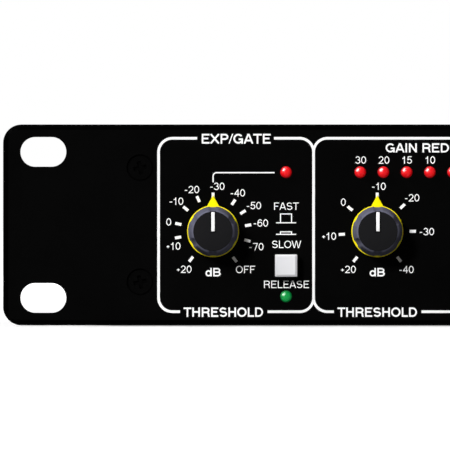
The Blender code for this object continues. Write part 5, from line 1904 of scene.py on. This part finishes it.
# ------------------------------------------------------------------ sockets
@dataclass
class RoundSockets:
    """Three-pole latching sockets: flange and barrel, insert, contacts and latch."""

    gap: float = 0.3
    size: Size = (26.0, 31.0, 2.0)
    corner: float = 2.5
    barrel: float = 11.8
    depth: float = 22.0
    mouth: float = 9.7
    insert: float = 7.5
    cavity: float = 15.0
    circle: float = 4.7
    pin: float = 1.15
    pin_shy: float = 2.0
    key: Size = (3.2, 1.2, 7.5)
    latch_tab: Size = (8.0, 3.2, 1.2)
    latch_stem: Size = (4.0, 1.1, 7.0)
    latch_travel: float = 1.2
    play: float = 0.2
    screw: Point = (9.6, 12.1)

    @property
    def face(self) -> float:
        """Height of the flange's outer face over the rear plate."""
        return self.gap + self.size[2]

    @property
    def floor(self) -> float:
        """Height of the bottom of the mouth."""
        return self.face - self.cavity

    @property
    def corners(self) -> list[Matrix]:
        """Places of the flange's two screws."""
        x, y = self.screw
        return [at(-x, y), at(x, -y)]

    @property
    def poles(self) -> list[Matrix]:
        """Places of the three contacts."""
        angles = map(math.radians, (35, 145, 270))
        return [at(self.circle * math.cos(a), self.circle * math.sin(a)) for a in angles]

    def shell(self) -> Shape:
        """Makes flange and barrel, with the mouth bored out and two screw holes.

        Returns:
            The shell.
        """
        w, h, _ = self.size
        face, floor, mouth = self.face, self.floor, self.mouth
        shell = Shape.plate(rounded(w, h, self.corner, 8), self.gap, face, 0.45)
        shell.fused(Shape.rod(self.barrel, -self.depth, self.gap + 0.5, 56))
        bore = Shape.lathe([
            (0.0, face + 1), (mouth + 0.5, face + 1), (mouth + 0.5, face), (mouth, face - 0.5),
            (mouth, floor), (0.0, floor),
        ], 56)
        profile = [(0, 3), (2.9, 3), (2.9, face - 0.2), (1.7, 1.0), (1.7, -1), (0, -1)]
        return shell.cut(bore, Shape.lathe(profile, 28).at_each(self.corners))

    def fittings(self, name: str, put: Matrix, kind: str, contact: Shape) -> None:
        """Ends a socket's contacts with their solder cups, and its two screws.

        Args:
            name: the socket's CAD node.
            put: the frame that it is made in.
            kind: what its contacts are called.
            contact: one of them.
        """
        cup = Shape.rod(1.0, -self.depth - 3.2, -self.depth + 0.5, 20)
        Shape().add(contact, cup).at_each(self.poles).piece(f"{name}_{kind}", GOLD, put)
        screw = Screw(head=2.7, length=6.0, sunk=0.25, turned=0.5).shape()
        screws = screw.moved(at(0, 0, self.face)).at_each(self.corners)
        screws.piece(f"{name}_screws", BLACK_OXIDE, put)

    def male(self, name: str, put: Matrix) -> None:
        """An output: an open shell with a key slot round three pins.

        Args:
            name: its CAD node.
            put: the frame that it is made in.
        """
        width, deep, length = self.key
        face, floor = self.face, self.floor
        low = (-width / 2, self.mouth - 0.5, face - length)
        key = Shape.block(low, (width / 2, self.mouth + deep, face + 1), 0.2, 1)
        self.shell().cut(key).piece(f"{name}_shell", NICKEL, put, name)
        disc = Shape.rod(self.mouth - 0.05, floor + 0.02, floor + 2.2, 48, 0.4)
        disc.cut(Shape.lathe([(2, 9), (3, 9), (3, floor + 1.6), (2, floor + 1.6), (2, 9)], 32))
        disc.piece(f"{name}_insulator", MOULDING, put)
        pin = Shape.rod(self.pin, floor + 1.0, face - self.pin_shy, 24, 0.6)
        self.fittings(name, put, "pins", pin)

    def female(self, name: str, put: Matrix) -> None:
        """An input: a ring groove round an insert with three contacts, and a latch.

        Args:
            name: its CAD node.
            put: the frame that it is made in.
        """
        width, height, depth = self.latch_stem
        face, floor, play = self.face, self.floor, self.play
        slot = Shape.block(
            (-width / 2 - play, self.mouth - play, face - depth - self.latch_travel - self.gap),
            (width / 2 + play, self.mouth + play + height + play, face + 1),
        )
        self.shell().cut(slot).piece(f"{name}_shell", NICKEL, put, name)
        core = Shape.rod(self.insert, floor + 0.02, face - 0.15, 48, 0.5)
        hole = [(0, 9), (1.75, 9), (1.75, face - 0.1), (1.4, face - 0.6)]
        hole += [(1.4, floor + 2), (0, floor + 2)]
        core.cut(Shape.lathe(hole, 24).at_each(self.poles))
        core.piece(f"{name}_insert", MOULDING, put)
        top, low = face - 1.4, floor + 2.1
        sleeve = [(1.12, top), (1.36, top), (1.36, low), (1.12, low), (1.12, top)]
        self.fittings(name, put, "contacts", Shape.lathe(sleeve, 20))
        self.latch(name, put @ at(0, self.mouth + play))

    def latch(self, name: str, put: Matrix) -> None:
        """The ribbed tab on its stem, which is pressed to free the plug.

        Args:
            name: the socket's CAD node.
            put: the frame at the tab's lower edge.
        """
        w, h, thick = self.latch_tab
        width, height, depth = self.latch_stem
        low = self.face + self.gap + self.latch_travel
        latch = Shape.block((-w / 2, 0, low), (w / 2, h, low + thick), 0.35, 3)
        for i in range(3):
            y = 0.75 + 0.7 * i
            latch.cut(Shape.block((-w / 2 + 1, y, low + thick - 0.15), (w / 2 - 1, y + 0.3, 9)))
        stem = (-width / 2, 0, self.face - depth), (width / 2, height, low + thick / 2)
        latch.fused(Shape.block(*stem))
        node = f"xlr_latch_{name[-1]}"
        latch.piece(f"{name}_latch", STEEL, put, node, node)

    def build(self) -> None:
        """Both channels' inputs and outputs."""
        for channel in CHANNELS:
            for kind, make in (("output", self.male), ("input", self.female)):
                make(f"xlr_{kind}_{channel}", behind(f"xlr_{kind}_{channel}"))


@dataclass
class Jacks:
    """Quarter-inch sockets: moulded body, threaded nose and hexagon nut."""

    body: Size = (14.0, 13.0, 24.0)
    seat: float = -1.5
    nut: Point = (6.6, 2.2)
    gap: float = 0.3
    nose: float = 4.6
    bore: float = 3.2
    bore_depth: float = 22.0
    thread: float = 0.5

    @property
    def back(self) -> float:
        """Height of the body's rear end."""
        return self.seat - self.body[2]

    @property
    def top(self) -> float:
        """Height of the nose's outer end."""
        return self.gap + self.nut[1]

    def case(self) -> Shape:
        """Makes the moulded body with its grooves.

        Returns:
            The body.
        """
        w, h, _ = self.body
        body = Shape.bar(w, h, self.back, self.seat, 0.5)
        body.cut(*[
            Shape.block((-w, side * h / 2 - 0.4, z), (w, side * h / 2 + 0.4, z + 1.2))
            for side in (-1, 1) for z in (-20.0, -15.0, -10.0)
        ])
        return body.cut(Shape.rod(self.bore + 0.4, self.gap - self.bore_depth, 1))

    def barrel(self) -> Shape:
        """Turns the threaded nose and its bore.

        Returns:
            The nose.
        """
        top, end, r = self.top, self.back + 3, self.nose
        profile = [(self.bore, end), (self.bore, top - 0.5), (self.bore + 0.5, top)]
        profile += [(r - 0.3, top), (r, top - 0.3)]
        z = top - 0.5
        while z > self.seat:
            profile += [(r, z), (r - 0.25, z - self.thread / 2)]
            z -= self.thread
        return Shape.lathe([*profile, (r, self.seat - 0.4), (r, end), (self.bore, end)])

    def hexagon_nut(self) -> Shape:
        """Makes the nut, whose upper corners are turned off.

        Returns:
            The nut.
        """
        radius, top = self.nut[0], self.top
        nut = Shape.plate(hexagon(radius, 30), self.gap, top - 0.1)
        profile = [(0, -1), (radius - 0.1, -1), (radius - 0.1, top - 0.7)]
        cone = Shape.lathe([*profile, (radius - 0.9, top - 0.1), (0, top - 0.1)])
        nut.cut(cone, operation="INTERSECT")
        return nut.cut(Shape.rod(self.nose - 0.1, -1, 5, 48))

    def build(self) -> None:
        """Each channel's jack."""
        body, nose, nut = self.case(), self.barrel(), self.hexagon_nut()
        foot, back = -self.body[1] / 2, self.back
        tabs = Shape().add(*[
            Shape.block((x - 0.7, foot - 2.4, back + 4), (x + 0.7, foot + 0.5, back + 4.4))
            for x in (-4.5, 0.0, 4.5)
        ])
        for channel in CHANNELS:
            name = f"sidechain_jack_{channel}"
            put = behind(name)
            body.copy().piece(f"{name}_body", MOULDING, put, name)
            nose.copy().piece(f"{name}_nose", NICKEL, put)
            nut.copy().piece(f"{name}_nut", NICKEL, put)
            tabs.copy().piece(f"{name}_tabs", GOLD, put)


@dataclass
class MainsInlet:
    """Three-pin mains inlet with a fuse drawer over its mouth."""

    flange: Size = (50.0, 31.0, 3.0)
    corner: float = 4.0
    body: Size = (27.2, 29.6, 24.0)
    mouth: Point = (24.4, 16.8)
    mouth_y: float = -4.0
    mouth_depth: float = 17.0
    cut_corner: float = 4.5
    pin: Size = (2.0, 4.0, 15.5)
    pin_spots: tuple[Point, ...] = ((-7.0, -2.0), (7.0, -2.0), (0.0, 2.0))
    drawer: Size = (19.0, 6.4, 18.0)
    drawer_y: float = 9.8
    lip: Size = (21.0, 8.0, 1.57)
    scoop: Point = (3.2, 8.0)
    gap: float = 0.3
    play: float = 0.2
    screw_x: float = 20.0
    mark: Point = (5.0, 1.8)
    mark_line: float = 0.25

    @property
    def face(self) -> float:
        """Height of the flange's outer face over the rear plate."""
        return self.gap + self.flange[2]

    @property
    def floor(self) -> float:
        """Height of the bottom of the mouth."""
        return self.face - self.mouth_depth

    @property
    def lip_face(self) -> float:
        """Height of the face of the drawer's lip."""
        return self.face + self.gap + self.lip[2]

    @property
    def sides(self) -> list[Matrix]:
        """Places of the flange's two screws."""
        return [at(-self.screw_x), at(self.screw_x)]

    def opening(self) -> list[Point]:
        """Draws the mouth, whose upper corners are cut off.

        Returns:
            Its outline.
        """
        w, h = self.mouth[0] / 2, self.mouth[1] / 2
        y, c = self.mouth_y, self.cut_corner
        top, side = y + h, y + h - c
        return [(-w, y - h), (w, y - h), (w, side), (w - c, top), (c - w, top), (-w, side)]

    def housing(self) -> Shape:
        """Makes flange and body, with the mouth, the drawer's slot and two screw holes.

        Returns:
            The housing.
        """
        w, h, _ = self.flange
        bw, bh, depth = self.body
        dw, dh, dd = self.drawer
        face, g = self.face, self.play
        inlet = Shape.plate(rounded(w, h, self.corner, 8), self.gap, face, 0.8, 4)
        inlet.fused(Shape.bar(bw, bh, -depth, self.gap + 1))
        slot = Shape.block(
            (-dw / 2 - g, self.drawer_y - dh / 2 - g, face - dd - g),
            (dw / 2 + g, self.drawer_y + dh / 2 + g, face + 1),
        )
        profile = [(0, 9), (3.1, 9), (3.1, face - 0.4), (1.7, face - 1.9), (1.7, -1), (0, -1)]
        mouth = Shape.plate(self.opening(), self.floor, face + 1)
        return inlet.cut(mouth, slot, Shape.lathe(profile, 32).at_each(self.sides))

    def blades(self) -> Shape:
        """Makes the three pins and the tabs behind them.

        Returns:
            All of them.
        """
        w, h, length = self.pin
        floor, back = self.floor, -self.body[2]
        pin = Shape.bar(w, h, floor - 0.5, floor + length, 0.45, 3)
        tab = Shape.bar(0.8, 6.2, back - 5.6, back + 0.3)
        places = [at(x, self.mouth_y + y) for x, y in self.pin_spots]
        return Shape().add(pin, tab).at_each(places)

    def tray(self) -> Shape:
        """Makes the fuse drawer with its lip and the scoop for a fingernail.

        Returns:
            The drawer, about its middle.
        """
        w, h, depth = self.drawer
        lw, lh, _ = self.lip
        low, high = self.face + self.gap, self.lip_face
        radius, width = self.scoop
        lip = Shape.plate(rounded(lw, lh, 1.0, 5), low, high, 0.4)
        lip.fused(Shape.bar(w, h, self.face - depth, low + 0.5))
        scoop = Shape.rod(radius, -lw, lw).moved(turn(QUARTER, "Y"))
        starts = (width / 2, -lw - width / 2)
        ends = [Shape.block((x, -9, -9), (x + lw, 9, 9)) for x in starts]
        return lip.cut(scoop.cut(*ends).moved(at(0, -lh / 2 + 1.2, high + 2.5)))

    def build(self) -> None:
        """The inlet, its pins, its screws and the drawer."""
        put = behind("mains_inlet")
        self.housing().piece("mains_inlet_body", MOULDING, put, "mains_inlet", sharp=30)
        self.blades().piece("mains_inlet_pins", NICKEL, put)
        screw = Screw(head=2.9, sunk=0.4, length=7.5, turned=0.9).shape()
        screws = screw.moved(at(0, 0, self.face)).at_each(self.sides)
        screws.piece("mains_inlet_screws", BLACK_OXIDE, put)

        put = put @ at(0, self.drawer_y)
        self.tray().piece("fuse_drawer_body", MOULDING, put, "fuse_drawer", "fuse_drawer", 30)
        ink, y, end = Print(0.03), 1.6, 4.2
        border = rounded(*self.mark, 0.2, 2, 0, y)
        ink.stroke([*border, border[0]], self.mark_line)
        ink.stroke([(-end, y), (end, y)], self.mark_line)
        ink.piece("fuse_mark", put @ at(0, 0, self.lip_face - 0.01), "fuse_drawer")


@dataclass
class RearLegends:
    """White names over the sockets and beside the mains inlet."""

    top: float = 17.4
    letter: float = 1.7
    small: float = 1.3
    mains_x: float = 32.5

    def build(self) -> None:
        """Prints the rear plate."""
        for channel in CHANNELS:
            ink = Print(0.03)
            jack = middle(f"sidechain_jack_{channel}", REAR).x
            ink.text("SIDECHAIN", jack, 9.2, self.letter)
            ink.text(f"CHANNEL {channel}", jack, self.top - 2.4, 2.0, Weight.BOLD)
            for kind in ("output", "input"):
                x = middle(f"xlr_{kind}_{channel}", REAR).x
                ink.text(kind.upper(), x, self.top - 0.2, self.small)
            ink.piece(f"print_rear_{channel}", REAR)
        ink = Print(0.03)
        x = middle("mains_inlet", REAR).x + self.mains_x
        ink.text("MAINS", x, 1.6, self.letter)
        ink.text("FUSE", x, 9.8, self.letter)
        ink.piece("print_rear_mains", REAR)


# ------------------------------------------------------------------ inside
@dataclass
class ControlBoard:
    """Upright board with its potentiometers, push switches and header."""

    face: float = -12.3
    thickness: float = 1.6
    hole: float = 1.3
    hole_inset: Point = (5.0, 4.0)
    pot: Size = (10.0, 11.0, 6.5)
    bushing: float = 3.6
    bushing_start: float = 0.5
    shaft: float = 2.9
    shaft_depth: float = 11.5
    switch: float = 8.0
    switch_front: float = 6.8
    stem: float = 1.7
    header: Size = (33.0, 7.0, 6.0)

    def sheet(self) -> Shape:
        """Makes the bare board.

        Returns:
            The board with its six holes.
        """
        low, high = span("control_board", FRONT)
        foot = self.face - self.thickness
        sheet = Shape.block((low.x, low.y, foot), (high.x, high.y, self.face))
        x, y = self.hole_inset
        xs, ys = (low.x + x, (low.x + high.x) / 2, high.x - x), (low.y + y, high.y - y)
        hole = Shape.rod(self.hole, -20, 0, 20)
        return sheet.cut(hole.at_each(at(x, y) for x in xs for y in ys))

    def nose(self) -> Shape:
        """Turns a potentiometer's threaded bushing.

        Returns:
            The bushing.
        """
        top = self.face + self.pot[2]
        bore, outer = self.shaft + 0.2, self.bushing
        profile = [(bore, top - 0.5), (bore, -self.bushing_start)]
        z = -self.bushing_start
        while z > top:
            profile += [(outer, z - 0.2), (outer - 0.2, z - 0.4)]
            z -= 0.5
        return Shape.lathe([*profile, (outer, top - 0.5), (bore, top - 0.5)], 40)

    def build(self) -> None:
        """The board and everything on it."""
        node = "control_board"
        self.sheet().piece("control_sheet", BOARD, FRONT, node)
        w, h, depth = self.pot
        face, bore = self.face, self.shaft + 0.2
        can = Shape.bar(w, h, face + 1.6, face + depth, 0.5)
        can.cut(Shape.rod(bore, -self.shaft_depth - 0.3, 5))
        wafer = Shape.bar(w - 0.4, h - 0.4, face, face + 1.5)
        places = [over(f"{name}_knob") for name in KNOBS]
        for name, shape, finish in (
            ("cans", can, STEEL), ("bushings", self.nose(), NICKEL), ("wafers", wafer, MOULDING)
        ):
            shape.at_each(places).piece(f"potentiometer_{name}", finish, FRONT, node)
        switch = Shape.bar(self.switch, self.switch, face, -self.switch_front, 0.3)
        switch.cut(Shape.bar(2 * self.stem, 2 * self.stem, -11.8, 0))
        switches = switch.at_each(over(name) for name in BUTTONS)
        switches.piece("switch_bodies", MOULDING, FRONT, node)
        w, h, depth = self.header
        back, x = face - self.thickness, middle("ribbon_cable", FRONT).x
        header = Shape.bar(w, h, back - depth, back, 0.3, 1).moved(at(x))
        header.piece("control_header", MOULDING, FRONT, node)


@dataclass
class MainBoard:
    """Horizontal board: supply, gain cells and amplifiers."""

    thickness: float = 1.6
    supply: Size = (20.0, 30.0, 28.0)
    capacitor: Point = (11.0, 25.0)
    heatsink: Size = (4.0, 18.0, 22.0)
    heatsink_inset: float = 44.0
    fins: int = 8
    circuit_inset: float = 30.0
    circuit_pitch: Point = (48.0, 45.0)
    circuits: tuple[int, int] = (4, 2)
    chip: Size = (10.0, 6.4, 4.2)
    leg_pitch: float = 2.54
    coupling: Size = (3.2, 9.0, 13.0)
    header: Size = (33.0, 7.0, 6.0)
    header_inset: float = 7.0

    def can(self, radius: float, height: float) -> Shape:
        """A capacitor in its crimped sleeve."""
        profile = [
            (0.0, 0.0), (radius * 0.92, 0.0), (radius, 0.5), (radius, height * 0.1),
            (radius * 0.94, height * 0.13), (radius, height * 0.17), (radius, height - 0.6),
            (radius - 0.5, height - 0.05), (radius * 0.72, height), (0.0, height),
        ]
        return Shape.lathe(profile)

    def cooler(self) -> Shape:
        """Makes a heatsink: a back with its fins.

        Returns:
            The heatsink.
        """
        w, d, h = self.heatsink
        made = Shape.block((-w / 2, -d / 2, 0.5), (-w / 2 + 1.2, d / 2, h))
        for i in range(self.fins):
            y = -d / 2 + i * (d - 1.0) / (self.fins - 1)
            made.add(Shape.block((-w / 2 + 1.1, y, 0.5), (w / 2, y + 1.0, h), 0.2, 1))
        return made

    def dip(self) -> tuple[Shape, Shape]:
        """Makes a chip.

        Returns:
            Its moulded body and its eight legs.
        """
        w, d, h = self.chip
        body = Shape.bar(w, d, 0.9, h, 0.3)
        body.cut(Shape.rod(0.8, h - 0.3, h + 1, 16).moved(at(-w / 2)))
        legs = Shape()
        for i in range(4):
            x = (i - 1.5) * self.leg_pitch
            for y in (-d / 2 - 0.25, d / 2 + 0.25):
                legs.add(Shape.block((x - 0.5, y - 0.15, 1.2), (x + 0.5, y + 0.15, 2.4)))
                legs.add(Shape.block((x - 0.25, y - 0.15, -2.0), (x + 0.25, y + 0.15, 1.3)))
        return body, legs

    def fit(self, name: str, part: Shape, finish: Finish, *places: Matrix) -> None:
        """Ends copies of a part at those places as one piece of the board."""
        part.at_each(places).piece(name, finish, WORLD, "main_board")

    def build(self) -> None:
        """The board and its parts."""
        low, high = span("main_board", WORLD)
        top, here = low.z + self.thickness, Matrix()
        self.fit("main_sheet", Shape.block(low, (high.x, high.y, top)), BOARD, here)

        inset, first, pitch = self.supply
        rows = [low.y + first + i * pitch for i in range(2)]
        radius, height = self.capacitor
        places = [at(high.x - inset, y, top) for y in rows]
        self.fit("supply_capacitors", self.can(radius, height), SLEEVE, *places)
        vent = Shape.rod(radius * 0.7, height - 0.2, height + 0.05, 40)
        vent.crossed(radius, 0.35, height - 0.1, height + 1)
        self.fit("capacitor_tops", vent, ALUMINIUM, *places)
        places = [at(high.x - self.heatsink_inset, y, top) for y in rows]
        self.fit("heatsinks", self.cooler(), ALUMINIUM, *places)
        side = -self.heatsink[0] / 2
        clip = Shape.block((side - 4.4, -5, 2), (side - 0.05, 5, 17), 0.3)
        self.fit("regulators", clip, MOULDING, *places)

        body, legs = self.dip()
        radius, height, offset = self.coupling
        x, y = low.x + self.circuit_inset, low.y + self.circuit_inset
        places = [
            at(x + column * self.circuit_pitch[0], y + row * self.circuit_pitch[1], top)
            for column in range(self.circuits[0]) for row in range(self.circuits[1])
        ]
        self.fit("chips", body, MOULDING, *places)
        self.fit("chip_legs", legs, NICKEL, *places)
        can = self.can(radius, height).moved(at(offset))
        self.fit("coupling_capacitors", can, SLEEVE, *places)
        w, h, depth = self.header
        x, y = middle("ribbon_cable", WORLD).x, low.y + self.header_inset
        header = Shape.bar(w, h, 0, depth, 0.3, 1)
        self.fit("main_header", header, MOULDING, at(x, y, top))


@dataclass
class Transformer:
    """Taped ring transformer and the dished clamp that holds it."""

    radius: float = 40.0
    hole: float = 14.0
    height: float = 28.0
    edge: float = 6.0
    hole_edge: float = 1.5
    dish: float = 24.0
    plate: float = 1.5
    bolt: float = 3.0
    nut: Point = (5.0, 3.0)
    gap: float = 0.3

    def ring(self) -> Shape:
        """Turns the wound ring.

        Returns:
            The ring.
        """
        edge, top, hole, c = self.edge, self.height, self.hole, self.hole_edge
        outside = arc(self.radius - edge, top - edge, edge, edge, 90, 0, 8)
        under = [(x, top - y) for x, y in reversed(outside)]
        inside = [(hole + c, 0.0), (hole, c), (hole, top - c), (hole + c, top)]
        return Shape.lathe([inside[-1], *outside, *under, *inside], 120)

    def clamp(self) -> Shape:
        """Makes the pressed dish with its bolt and nut.

        Returns:
            The clamp.
        """
        seat = self.height + self.gap
        top, dish = seat + self.plate, self.dish
        clamp = Shape.lathe([
            (0.0, top), (dish * 0.42, top - 0.5), (dish - 1.2, top), (dish, top - 0.4),
            (dish, seat), (self.bolt, seat), (self.bolt, 0.0), (0.0, 0.0),
        ], 72)
        radius, thick = self.nut
        foot = top - 0.3
        return clamp.fused(Shape.plate(hexagon(radius, 0), foot, foot + thick - 0.2, 0.4, 2))

    def build(self) -> None:
        """The ring and the clamp over it."""
        spot, low = middle("transformer", WORLD), span("transformer", WORLD)[0]
        put = WORLD @ at(spot.x, spot.y, low.z)
        tape = Taped(
            "winding_tape", Stuff.WINDING, (0.62, 0.4, 0.05), (0.52, 0.32, 0.035),
            (0.22, 0.34), 900.0, 0.00012, centre=(spot.x * MM, spot.y * MM),
        )
        self.ring().piece("winding", tape, put, "transformer")
        self.clamp().piece("transformer_dish", STEEL, put, "transformer_clamp")


@dataclass
class Wiring:
    """The flat cable between the boards, and the lead from inlet to switch."""

    wires: int = 25

    def build(self) -> None:
        """Gives both cables their sheaths."""
        low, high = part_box("ribbon_cable")
        ribbon = Striped(
            "flat_cable", Stuff.RIBBON, (0.36, 0.36, 0.37), (0.3, 0.3, 0.31),
            (0.4, 0.5), 1500.0, 0.0003, specular=0.4,
            start=low.x, pitch=(high.x - low.x) / self.wires,
        )
        dress("ribbon_cable", ribbon)
        dress("mains_cable", SHEATH)


# ------------------------------------------------------------------ studio
class Role(Enum):
    """What a lamp does."""

    BOTH = "lights surfaces and shows in glossy ones"
    MATT = "lights surfaces only"
    GLINT = "shows in glossy surfaces only"


@dataclass
class Studio:
    """Camera, floor, world and lamps.

    Args:
        seen: how much of the panel's length the picture takes in, in metres.
        aim: the picture's middle, from the panel's left end.
        dim: how brightly the world lights surfaces.
        mirrored: how bright it is in a mirror.
        lift: the floor's glow at the two distances of the fade, which are in metres.
    """

    seen: float = 0.09776
    aim: float = 0.04823
    lens: float = 1000.0
    sensor: float = 36.0
    dim: float = 0.105
    mirrored: float = 0.55
    lift: Point = (0.34, 0.9)
    fade: Point = (0.6, 2.0)

    def camera(self) -> None:
        """A long lens that looks straight at the panel's left part."""
        data = bpy.data.cameras.new("camera")
        data.lens = self.lens
        data.sensor_width = self.sensor
        data.clip_end = 100.0
        obj = shown("camera", data)
        away = self.seen * self.lens / self.sensor
        obj.location = (PANEL[0].x + self.aim, PANEL[0].y - away, MIDDLE - 0.00002)
        obj.rotation_euler = (QUARTER, 0.0, 0.0)
        bpy.context.scene.camera = obj

    def lamp(self, name: str, toward: Size, power: float, size: float, role: Role) -> None:
        """A square soft light that shines at the object.

        Args:
            name: the lamp's name.
            toward: where it stands, in metres from the object's middle.
            power: its strength in watts.
            size: its side in metres.
            role: whether it lights surfaces, shows in glossy ones, or both.
        """
        data = bpy.data.lights.new(name, "AREA")
        data.energy = power
        data.size = size
        data.use_shadow = role is not Role.GLINT
        obj = shown(name, data)
        spot = Vector(toward)
        obj.location = Vector((0.0, 0.0, MIDDLE)) + spot
        obj.rotation_euler = (-spot).to_track_quat("-Z", "Y").to_euler()
        obj.visible_camera = False
        obj.visible_glossy = role is not Role.MATT
        if role is Role.GLINT:
            obj.visible_diffuse = False
            obj.light_linking.receiver_collection = self.lenses()

    def lenses(self) -> bpy.types.Collection:
        """Gathers the lamps' lenses, which alone take the glint.

        Returns:
            A collection of them.
        """
        found = bpy.data.collections.new("lenses")
        resins = {RED_LAMP.material(), GREEN_LAMP.material()}
        for obj in bpy.data.objects:
            if obj.type == "MESH" and {*obj.data.materials} & resins:
                found.objects.link(obj)
        return found

    def overhead(self, strength: float, spread: float) -> None:
        """A wide light straight from above, which gives the floor its soft shadow.

        Args:
            strength: its strength.
            spread: the angle that it comes from, in degrees.
        """
        data = bpy.data.lights.new("overhead", "SUN")
        data.energy = strength
        data.angle = math.radians(spread)
        shown("overhead", data).visible_camera = False

    def world(self) -> None:
        """White behind the object, and a dimmer white that lights it."""
        world = bpy.data.worlds.new("studio")
        bpy.context.scene.world = world
        nodes = Nodes(world)
        nodes.shade({"Color": grey(1.0), "Strength": nodes.rays(self.mirrored, self.dim)})

    def floor(self) -> None:
        """A pale floor that fades into the white and keeps the object's shadow."""
        bm = bmesh.new()
        bmesh.ops.create_grid(bm, x_segments=1, y_segments=1, size=40.0)
        mesh = bpy.data.meshes.new("floor")
        bm.to_mesh(mesh)
        bm.free()
        obj = shown("floor", mesh)
        obj.location = (0.0, 0.0, CASE_BOX[0].z - 0.0002)
        obj.visible_diffuse = False
        nodes = Nodes(bpy.data.materials.new("pale_floor"))
        clouds = nodes.spread(nodes.noise(3.0, 2.0), (0.3, 0.7))
        colour = nodes.mixed(clouds, grey(0.8), grey(0.76))
        nodes.shade({"Base Color": colour, "Roughness": 0.9, "Specular IOR Level": 0.0})
        seen = nodes.rays(self.mirrored)
        far = nodes.add("ShaderNodeVectorMath", {0: nodes.place}, operation="LENGTH")
        lift = nodes.spread(far.outputs["Value"], self.fade, self.lift)
        glow = nodes.maths("MULTIPLY", seen, lift)
        nodes.shade({"Emission Color": grey(1.0), "Emission Strength": glow})
        clear = nodes.add("ShaderNodeBsdfTransparent", {}).outputs[0]
        back = nodes.add("ShaderNodeNewGeometry", {}).outputs["Backfacing"]
        both = nodes.add("ShaderNodeMixShader", {0: back, 1: nodes.shader.outputs[0], 2: clear})
        output = nodes.tree.nodes["Material Output"]
        nodes.tree.links.new(both.outputs[0], output.inputs["Surface"])
        mesh.materials.append(nodes.owner)

    def build(self) -> None:
        """Sets the stage."""
        self.camera()
        self.world()
        self.floor()
        self.lamp("key", (-0.93, -2.5, 0.71), 61.5, 0.34, Role.MATT)
        self.lamp("left_rim", (-1.18, -0.5, 1.0), 10.6, 0.5, Role.BOTH)
        self.lamp("left_glint", (-1.18, -0.5, 1.0), 300.0, 1.2, Role.GLINT)
        self.lamp("back_fill", (0.9, 2.2, 0.9), 34.0, 1.2, Role.BOTH)
        self.lamp("right_fill", (2.2, 0.7, 0.6), 20.0, 1.0, Role.BOTH)
        self.overhead(0.5, 30.0)
        view = bpy.context.scene.view_settings
        view.view_transform = "Standard"


def main() -> None:
    """Builds every sub-assembly in order."""
    logging.basicConfig(level=logging.INFO, format="%(name)s: %(message)s")
    for part in (
        Faceplate(), Knob(), Lamps(), PushButtons(), Legends(), PowerSwitch(), Case(),
        RoundSockets(), Jacks(), MainsInlet(), RearLegends(), ControlBoard(), MainBoard(),
        Transformer(), Wiring(), Studio(),
    ):
        part.build()
        LOG.info("%s done", type(part).__name__)


if __name__ == "__main__":
    main()
